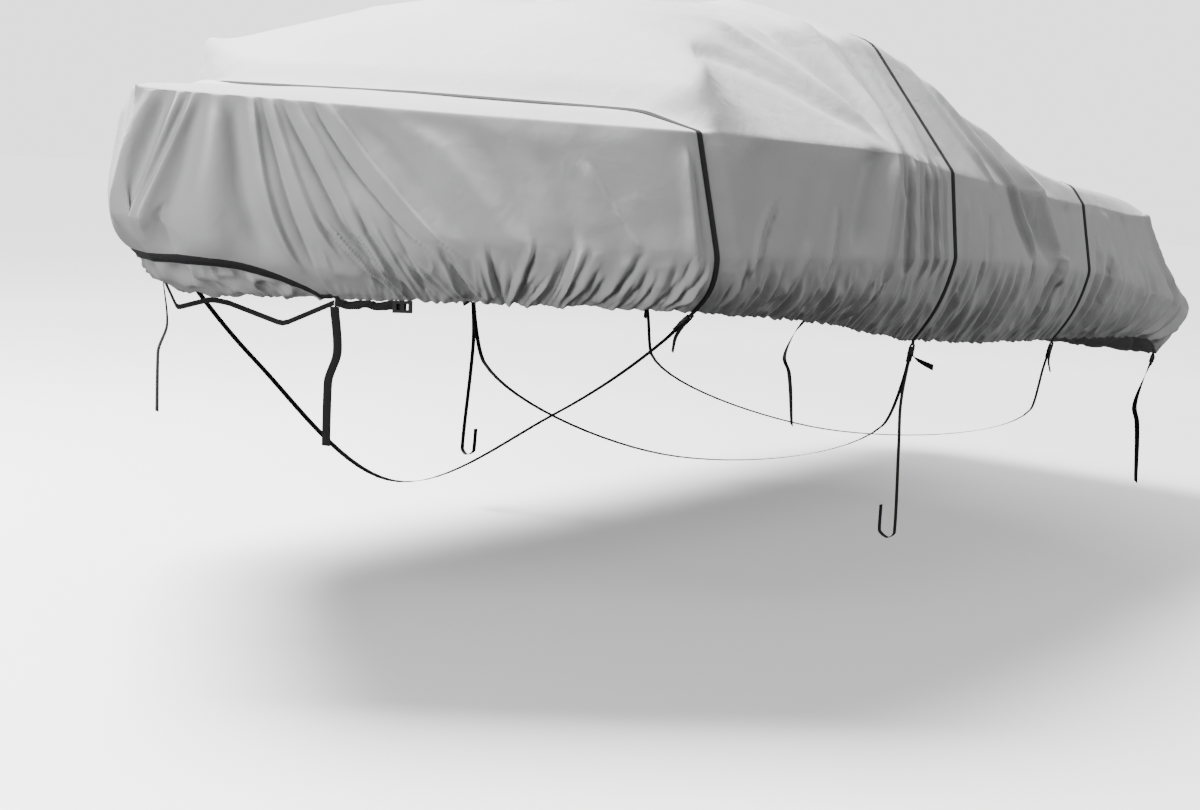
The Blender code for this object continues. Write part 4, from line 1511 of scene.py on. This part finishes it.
@dataclass
class Buckle:
    """A side-release buckle or a ladder adjuster for 25 mm webbing."""

    kind: BuckleKind
    half_long: float = 0.031
    half_wide: float = 0.018
    half_thick: float = 0.005

    def _mirrored(self, half: Sequence[Pair]) -> List[Pair]:
        """A whole outline from the half above the middle line."""
        return list(half) + [(a, -w) for a, w in reversed(half)]

    def _rails(self, part: Moulding, along: Pair, outer: float, wide: float, deep: float) -> None:
        """Add a bar along each side, from its outer face inwards."""
        for side in (-1, 1):
            part.bar(along, tuple(sorted((side * outer, side * (outer - wide)))), (-deep, deep))

    def _ladder_end(self, part: Moulding, start: float, end: float) -> None:
        """The frame of two rails and three bars that webbing is threaded through.

        Args:
            part: The moulding to add to.
            start: Where the frame starts along the buckle.
            end: Where it ends.
        """
        wide, deep = self.half_wide * 0.86, self.half_thick * 0.72
        self._rails(part, (start, end), wide, 0.0045, deep)
        for place, size in ((0.38, 0.0048), (0.68, 0.0040), (1.0, 0.0048)):
            edge = start + (end - start) * place
            part.bar((edge - size, edge), (-wide, wide), (-deep * 0.9, deep * 0.9))
        part.bar((end - 0.0018, end), (-wide * 0.7, wide * 0.7), (deep * 0.6, deep * 1.25))

    def _ladder(self, part: Moulding) -> None:
        """Add the ladder adjuster's two rails and three bars.

        Args:
            part: The moulding to add to.
        """
        long, wide, deep = self.half_long * 0.86, self.half_wide * 0.90, self.half_thick * 0.72
        self._rails(part, (-long, long), wide, 0.0080, deep)
        for place in (-long + 0.0055, 0.0, long - 0.0055):
            part.bar((place - 0.0055, place + 0.0055), (-wide, wide), (-deep * 0.9, deep * 0.9))

    def _side_release(self, part: Moulding) -> None:
        """Add the side-release buckle's shell, prongs and ladder end.

        Args:
            part: The moulding to add to.
        """
        high, long = self.half_thick, self.half_long
        shell = self._mirrored(((-0.0215, 0.0146), (-0.0165, 0.0158), (-0.0120, 0.0150),
                                (-0.0060, 0.0150), (-0.0010, 0.0174), (0.0060, 0.0150)))
        for low, top in ((-high, -high * 0.42), (high * 0.42, high)):
            part.plate(shell, low, top)
        for along, wide in (((-0.0215, 0.0050), 0.0082), ((-0.0050, 0.0060), 0.0150)):
            part.bar(along, (-wide, wide), (-high * 0.6, high * 0.6))
        prong = ((0.0080, 0.0090), (-0.0050, 0.0100), (-0.0170, 0.0128), (-0.0175, 0.0150),
                 (-0.0120, 0.0174), (-0.0060, 0.0172), (0.0080, 0.0130))
        deep = (-high * 0.8, high * 0.8)
        for side in (-1, 1):
            part.plate([(a, side * w) for a, w in prong], -high * 0.46, high * 0.46)
            part.bar((-long, -0.0200), tuple(sorted((side * 0.0118, side * 0.0146))), deep)
        part.bar((-long, -long + 0.0034), (-0.0146, 0.0146), deep)
        collar = self._mirrored(((0.0066, 0.0140), (0.0090, 0.0158), (0.0120, 0.0150)))
        part.plate(collar, -high * 0.9, high * 0.9)
        self._ladder_end(part, 0.0115, long)

    def mould(self) -> Moulding:
        """Gather the plates and bars of the fitting.

        Returns:
            The moulding.
        """
        part = Moulding()
        if self.kind is BuckleKind.LADDER:
            self._ladder(part)
        else:
            self._side_release(part)
        return part


@dataclass
class BowBinding:
    """The dark tape that arches over the bow's hem, sewn down along both of its edges."""

    form: CoverForm
    finish: bpy.types.Material
    wide: float = 0.025
    thick: float = 0.0014
    gap: float = 0.0008
    reach: float = 0.455
    steps: int = 150
    sharp: float = 50.0

    def build(self) -> None:
        """Build and attach the tape."""
        girth = np.linspace(-self.reach, self.reach, self.steps + 1)[:, None]
        low, high = self.form.band_edges(girth[:, 0])
        shares = np.array([0.0, 0.04, 0.5, 0.96, 1.0])
        level = low[:, None] + (high - low)[:, None] * shares[None, :]
        face = self.form.surface(girth, level)
        out = self.form.outward(girth, level)
        under, over = face + out * self.gap * 0.3, face + out * (self.gap + self.thick)
        for edge in (0, -1):
            over[:, edge] = (under[:, edge] + over[:, edge]) / 2
        ring = np.concatenate([over, under[:, ::-1]], axis=1)
        mesh = solid("bow_binding_tape", ring, tube(*ring.shape[:2], turned=True), self.sharp)
        places = np.zeros(ring.shape)
        places[..., 0] = run_along(face[:, 2])[:, None]
        places[..., 1] = np.concatenate([shares, shares[::-1]]) * self.wide - self.wide / 2
        attach(dress(mesh, Attribute.STRAP, places, self.finish), "bow_binding")


@dataclass
class StrapWork:
    """What every group of straps is built with: the form, webbing, plastic and clearances."""

    form: CoverForm
    webbing: Webbing
    plastic: bpy.types.Material
    fit: float = 0.0004
    buckle_long: float = 0.062
    buckle_thick: float = 0.010
    buckle_hold: float = 0.004

    def buckled(self, kind: BuckleKind, name: str, node: str, middle: Array, along: Array,
                out: Array) -> None:
        """Build and attach one plastic fitting."""
        Buckle(kind).mould().build(name, node, middle, along, out, self.plastic)


@dataclass
class TieDown:
    """One crossing strap with its hem buckles, loose tails and the webbing under the keel."""

    work: StrapWork
    number: int
    pull: Pair
    chine: Pair
    keel_z: float
    tail_end: Triple
    bank: float = 0.0
    bank_reach: float = 0.07
    seat_gap: float = 0.0006
    buckle_drop: float = 0.014
    lead: float = 0.040
    tail_wide: float = 0.023
    tail_curl: float = 0.0016
    tail_twist: float = 1.4

    def hanging(self, side: int) -> Tuple[Array, Array, Array]:
        """How the strap leaves the hem.

        Args:
            side: -1 for port and 1 for starboard.

        Returns:
            The place, the direction of its pull, and outwards from that pull.
        """
        girth = np.array([[-side * self.work.form.strap_girth(self.number)]])
        hem = self.work.form.surface(girth, np.zeros((1, 1)))[0, 0]
        pull = unit(np.array([0.0, -side * self.pull[0], self.pull[1]]))
        return hem, pull, towards(np.array([0.0, -side * pull[2], side * pull[1]]), side)

    def _crossing(self) -> None:
        """The strap over the cover from one hem buckle to the other."""
        form, webbing = self.work.form, self.work.webbing
        rise = np.concatenate([np.linspace(0, 1, 26), 1 + CoverCloth.eased(0, 1, 34)[1:],
                               2 + CoverCloth.eased(0, 1, 18)[1:], 3 + np.linspace(0, 1, 24)[1:]])
        path, lift = [], []
        for side, levels in ((-1, rise), (1, rise[-2::-1])):
            girth = np.full((1, 1), -side * form.strap_girth(self.number))
            out = form.outward(girth * np.ones((1, len(levels))), levels[None, :])[0]
            path.append(form.surface(girth, levels[None, :])[0] + out * self.seat_gap)
            lift.append(out)
        first, last = (hem + pull * self.buckle_drop + out * self.seat_gap
                       for hem, pull, out in (self.hanging(side) for side, _ in SIDES))
        path = np.vstack([first, *path, last])
        lift = np.vstack([lift[0][:1], *lift, lift[-1][-1:]])
        across = np.tile(FORE_AFT, (len(path), 1))
        on_top = ease(0.0, 0.06, path[:, 2] - path[:, 2].max() + self.bank_reach)
        across[:, 2] = self.bank * on_top
        path[:, 2] += self.bank * webbing.width / 2 * on_top
        number = self.number
        webbing.build(f"strap_{number}_over", f"crossing_strap_{number}", path, across, lift)

    def _tail(self, middle: Array, pull: Array, out: Array, label: str) -> None:
        """The strap's loose end below its buckle, curling off it.

        Args:
            middle: The buckle's middle.
            pull: Direction of the strap's pull.
            out: Outwards from that pull.
            label: Name of the side.
        """
        work = self.work
        root = middle + out * (work.buckle_thick / 2 + work.fit + work.webbing.thick / 2)
        reach_pull, reach_out, reach_x = self.tail_end
        share = np.linspace(0.0, 1.0, 25)[:, None]
        tail = root + pull * reach_pull * share + out * reach_out * share ** 2
        tail[:, 0] += reach_x * share[:, 0] ** 2
        tail += out * self.tail_curl * np.sin(9.0 * share) * share
        turn = reach_out / (reach_out + reach_pull) * share
        twist = FORE_AFT * (1 - turn) + self.tail_twist * turn * pull
        name = f"{self.number}_{label}"
        work.webbing.build(f"tail_{name}", f"strap_tail_{name}", tail, twist, width=self.tail_wide)

    def build(self) -> None:
        """Build and attach the strap and all that hangs on it."""
        self._crossing()
        work = self.work
        keel = np.array([STRAP_X[self.number - 1], 0.0, self.keel_z]) - ORIGIN
        runs = []
        for side, label in SIDES:
            hem, pull, out = self.hanging(side)
            lane = out * (2 * self.seat_gap + work.webbing.thick / 2)
            middle = hem + pull * (self.buckle_drop + work.fit + work.buckle_long / 2) + lane
            name = f"buckle_{self.number}_{label}"
            work.buckled(BuckleKind.SIDE_RELEASE, f"side_{name}", name, middle, pull, out)
            self._tail(middle, pull, out, label)
            start = middle + pull * (work.buckle_long / 2 - work.buckle_hold)
            chine = np.array([keel[0], side * self.chine[0], self.chine[1] - ORIGIN[2]])
            runs.append([start, start + pull * self.lead, chine])
        path = rounded(runs[0] + [keel] + runs[1][::-1], 14)
        number = self.number
        work.webbing.build(f"strap_{number}_under", f"under_strap_{number}", path, FORE_AFT)


@dataclass
class BowTies:
    """Webbing sewn along the hem beside the bow, its adjuster, the tie below and the stem line."""

    work: StrapWork
    span: Pair = (0.428, 0.665)
    steps: int = 28
    gap: float = 0.0008
    wave_high: float = 0.0030
    wave_lean: float = 0.80
    adjuster_at: int = 25
    adjuster_drop: float = 0.003
    tie_hold: float = 0.004
    line_wide: float = 0.015
    line_rise: float = 0.003
    tie: Tuple[Triple, ...] = ((.510, .350, -.440), (.530, .350, -.560), (.500, .350, -.645),
                               (.505, .350, -.815))
    line: Tuple[Triple, ...] = ((.440, .210, -.488), (.400, .040, -.448), (.392, .000, -.445))

    def _along_hem(self, side: int, label: str) -> Array:
        """The webbing along the hem, waving where it isn't pulled.

        Args:
            side: -1 for port and 1 for starboard.
            label: Name of the side.

        Returns:
            The points of its middle, without the waves.
        """
        webbing = self.work.webbing
        girth = -side * np.linspace(*self.span, self.steps)[:, None]
        hem = self.work.form.surface(girth, 0 * girth)[:, 0]
        even = np.ones(7) / 7
        hem = np.stack([np.convolve(np.pad(column, 3, "edge"), even, "valid") for column in hem.T],
                       axis=-1)
        middle = hem - UPRIGHT * (self.gap + webbing.width / 2)
        share = np.linspace(0.0, 1.0, self.steps)
        wave = (np.sin(17 * share) * fade(0.66, 0.82, share))[:, None]
        path = middle + self.wave_high * wave * np.array([0.0, side, 0.8])
        lean = UPRIGHT + BEAM * self.wave_lean * side * wave
        webbing.build(f"hem_strap_{label}", f"hem_webbing_{label}", path, lean)
        return middle

    def build(self) -> None:
        """Build and attach both sides and the line between them."""
        work, webbing = self.work, self.work.webbing
        ends = []
        for side, label in SIDES:
            middle = self._along_hem(side, label)
            start, tangent = unit(middle[6] - middle[0]), unit(middle[-1] - middle[-8])
            out = BEAM * side
            out = unit(out - tangent * float(out @ tangent))
            lift = webbing.thick / 2 + work.fit + work.buckle_thick / 2
            seat = middle[self.adjuster_at] - UPRIGHT * self.adjuster_drop + out * lift
            name = f"adjuster_{label}"
            work.buckled(BuckleKind.LADDER, name, f"bow_{name}", seat, tangent, out)
            root = middle[0] - UPRIGHT * (webbing.width / 2 - self.tie_hold)
            path = rounded(root + (placed(self.tie, side) - placed(self.tie[:1], side)), 12)
            turn = np.linspace(0.0, 1.0, len(path))[:, None]
            across = start * (FORE_AFT + BEAM) + BEAM * 0.9 * side * turn
            webbing.build(f"bow_tie_strap_{label}", f"bow_tie_{label}", path, across)
            ends.append(middle[0] - start * 2 * work.fit + UPRIGHT * self.line_rise)
        path = np.vstack([ends[0], placed(self.line, -1), placed(self.line[:-1], 1)[::-1], ends[1]])
        webbing.build("stem_line_strap", "stem_line", taut(path, 10), UPRIGHT, width=self.line_wide)


@dataclass
class SternTies:
    """The twisted straps that hang from the hem's two stern corners, with their buckles."""

    work: StrapWork
    drop: float = 0.0056
    cloth: float = 0.0024
    twist: float = math.radians(150)
    tie: Tuple[Triple, ...] = ((5.40, .920, -.700), (5.250, .930, -.815), (5.176, .930, -.930),
                               (5.236, .930, -1.010), (5.315, .930, -1.300))

    def build(self) -> None:
        """Build and attach both corners."""
        work = self.work
        for side, label in SIDES:
            path = placed(self.tie, side)
            pull = unit(path[1] - path[0])
            girth = np.array([[-side * work.form.girth_of("stern_bend")]])
            hem = work.form.base(girth, 0 * girth)[0, 0] - ORIGIN
            top = hem + pull * self.drop - UPRIGHT * self.cloth
            out = towards(np.cross(pull, FORE_AFT), side)
            middle = top + pull * (work.buckle_long / 2 + work.fit)
            work.buckled(BuckleKind.SIDE_RELEASE, f"corner_buckle_{label}", f"stern_buckle_{label}",
                         middle, pull, out)
            start = middle + pull * (work.buckle_long / 2 - work.buckle_hold)
            path = rounded(np.vstack([start, path[1:]]), 14)
            turn = (np.linspace(0.0, self.twist, len(path)) * side)[:, None]
            across = unit(np.cross(pull, out)) * np.cos(turn) + BEAM * np.sin(turn)
            work.webbing.build(f"corner_tie_{label}", f"stern_tie_{label}", path, across)


@dataclass
class BeamStraps:
    """The straps that drop from the middle buckles and turn up under a trailer's beam."""

    middle: TieDown
    gap: float = 0.0005
    lead: float = 0.018
    route: Tuple[Triple, ...] = ((2.670, .962, -.760), (2.672, .968, -.880),
                                 (2.670, .985, -1.200), (2.670, .960, -1.222),
                                 (2.670, .925, -1.200), (2.670, .922, -1.110))

    def build(self) -> None:
        """Build and attach both straps."""
        strap, work = self.middle, self.middle.work
        for side, label in SIDES:
            hem, pull, out = strap.hanging(side)
            off = out * (2 * strap.seat_gap + work.webbing.thick * 1.5 + self.gap)
            root = hem + pull * (strap.buckle_drop + work.buckle_long + 4 * work.fit) + off
            path = rounded(np.vstack([root, root + pull * self.lead, placed(self.route, side)]), 10)
            work.webbing.build(f"beam_strap_web_{label}", f"beam_strap_{label}", path, FORE_AFT,
                               width=strap.tail_wide)


class Lamp(NamedTuple):
    """A soft rectangular light, turned to a target."""

    name: str
    place: Triple
    target: Triple
    size: Pair
    energy: float


LAMPS = (
    Lamp("overhead", (-1.9, 2.9, 5.2), (-0.1, 0.0, -0.2), (3.6, 3.6), 3200.0),
    Lamp("bow_key", (-5.6, -1.3, 1.5), (-2.1, -0.3, -0.3), (1.4, 1.4), 88.0),
    Lamp("bow_low", (-4.6, -0.6, -0.9), (-2.35, -0.55, -0.15), (1.0, 1.0), 44.0),
    Lamp("side_fill", (3.0, -6.5, 2.6), (1.6, -0.9, -0.3), (4.0, 3.0), 250.0),
)


@dataclass
class Studio:
    """Plain pale floor, soft light from above and the camera."""

    floor_z: float = -2.0
    floor_half: float = 60.0
    eye: Triple = (-5.433, -3.684, -0.5576)
    heading: float = 35.24
    roll: float = 4.2
    focal: float = 1800.0
    horizon: float = 163.0
    frame_wide: float = 1200.0
    frame_high: float = 810.0
    sensor: float = 36.0
    ambient: float = 0.125
    backdrop: float = 2.2
    floor_tone: float = 0.92
    floor_return: float = 0.03
    floor_rough: float = 0.9
    glow_near: float = 0.30
    glow_from: float = 2.0
    glow_full: float = 9.0

    def _camera(self) -> None:
        """Set the camera."""
        roll, heading = math.radians(self.roll), math.radians(self.heading)
        dip = math.atan((self.frame_high / 2 - self.horizon) * math.cos(roll) / self.focal)
        forward = Vector((math.cos(heading) * math.cos(dip), math.sin(heading) * math.cos(dip),
                          -math.sin(dip)))
        right = Vector((math.sin(heading), -math.cos(heading), 0.0))
        up = right.cross(forward)
        level_right = right * math.cos(roll) + up * math.sin(roll)
        level_up = up * math.cos(roll) - right * math.sin(roll)
        turn = Matrix((level_right, level_up, -forward)).transposed()
        data = bpy.data.cameras.new("camera")
        data.sensor_width = self.sensor
        data.lens = self.focal * data.sensor_width / self.frame_wide
        camera = link("camera", data)
        camera.matrix_world = Matrix.Translation(self.eye) @ turn.to_4x4()
        bpy.context.scene.camera = camera

    def _light(self, lamp: Lamp) -> None:
        """Add a light.

        Args:
            lamp: Its name, place, target, size and energy.
        """
        data = bpy.data.lights.new(lamp.name, "AREA")
        data.shape = "RECTANGLE"
        data.size, data.size_y = lamp.size
        data.energy = lamp.energy
        light = link(lamp.name, data)
        light.location = lamp.place
        aim = Vector(lamp.target) - Vector(lamp.place)
        light.rotation_euler = aim.to_track_quat("-Z", "Y").to_euler()
        light.visible_camera = False

    def _floor(self) -> None:
        """Lay the floor, which glows towards the distance where it is seen."""
        half = self.floor_half
        mesh = bpy.data.meshes.new("floor")
        corners = [(-half, -half, 0), (half, -half, 0), (half, half, 0), (-half, half, 0)]
        mesh.from_pydata(corners, [], [(0, 1, 2, 3)])
        material = bpy.data.materials.new("pale_floor")
        material.use_nodes = True
        work = NodeTree(material.node_tree)
        seen = work.add("LightPath", {}).outputs["Is Camera Ray"]
        place = work.add("TexCoord", {}).outputs["Object"]
        far = work.add("VectorMath", {0: place}, operation="LENGTH").outputs["Value"]
        glow = work.add("MapRange", {
            "Value": far, "From Min": self.glow_from, "From Max": self.glow_full,
            "To Min": self.glow_near, "To Max": self.backdrop}).outputs["Result"]
        bounced, shown = ((tone,) * 3 + (1,) for tone in (self.floor_return, self.floor_tone))
        work.fill(material.node_tree.nodes["Principled BSDF"], {
            "Roughness": self.floor_rough, "Base Color": work.mixed(seen, bounced, shown),
            "Emission Color": (1, 1, 1, 1), "Emission Strength": work.math("MULTIPLY", seen, glow)})
        mesh.materials.append(material)
        floor = link("floor", mesh)
        floor.location.z = self.floor_z

    def _world(self) -> None:
        """Light the world, brighter where it is seen."""
        world = bpy.data.worlds.new("studio")
        world.use_nodes = True
        work = NodeTree(world.node_tree)
        lit = world.node_tree.nodes["Background"]
        work.fill(lit, {"Color": (1, 1, 1, 1), "Strength": self.ambient})
        seen = work.add("Background", {"Color": (1, 1, 1, 1), "Strength": self.backdrop})
        path = work.add("LightPath", {}).outputs["Is Camera Ray"]
        mix = work.add("MixShader", {0: path, 1: lit.outputs[0], 2: seen.outputs[0]})
        work.fill(world.node_tree.nodes["World Output"], {"Surface": mix.outputs[0]})
        bpy.context.scene.world = world

    def build(self) -> None:
        """Build the whole stage."""
        self._camera()
        self._floor()
        for lamp in LAMPS:
            self._light(lamp)
        self._world()


# Number, pull at the hem, chine and keel of each crossing strap, how its loose tail ends, and bank.
STRAP_TABLE = (
    (1, (.70, -.70), (.62, -.722), -1.020, (.085, .030, .010), 0.30),
    (2, (.16, -.98), (.90, -.835), -1.075, (.030, .075, .030), 0.0),
    (3, (.22, -.97), (.93, -.860), -1.075, (.085, .020, .015), 0.0),
)


def main() -> None:
    """Build the stage and every piece of the cover."""
    logging.basicConfig(level=logging.INFO, format="%(name)s %(message)s")
    Studio().build()
    form = CoverForm()
    CoverCloth(form, CoatedPolyester().build()).build()
    binding = WovenTape("binding_tape", (0.034, 0.034, 0.037), (0.014, 0.014, 0.015),
                        rib_pitch=0.0013, stitch_lines=(-0.0098, 0.0098))
    BowBinding(form, binding.build()).build()
    work = StrapWork(form, Webbing(WovenTape("strap_webbing").build()), MouldedPlastic().build())
    straps = [TieDown(work, *row) for row in STRAP_TABLE]
    for strap in straps:
        strap.build()
    BowTies(work).build()
    SternTies(work).build()
    BeamStraps(straps[1]).build()


if __name__ == "__main__":
    main()
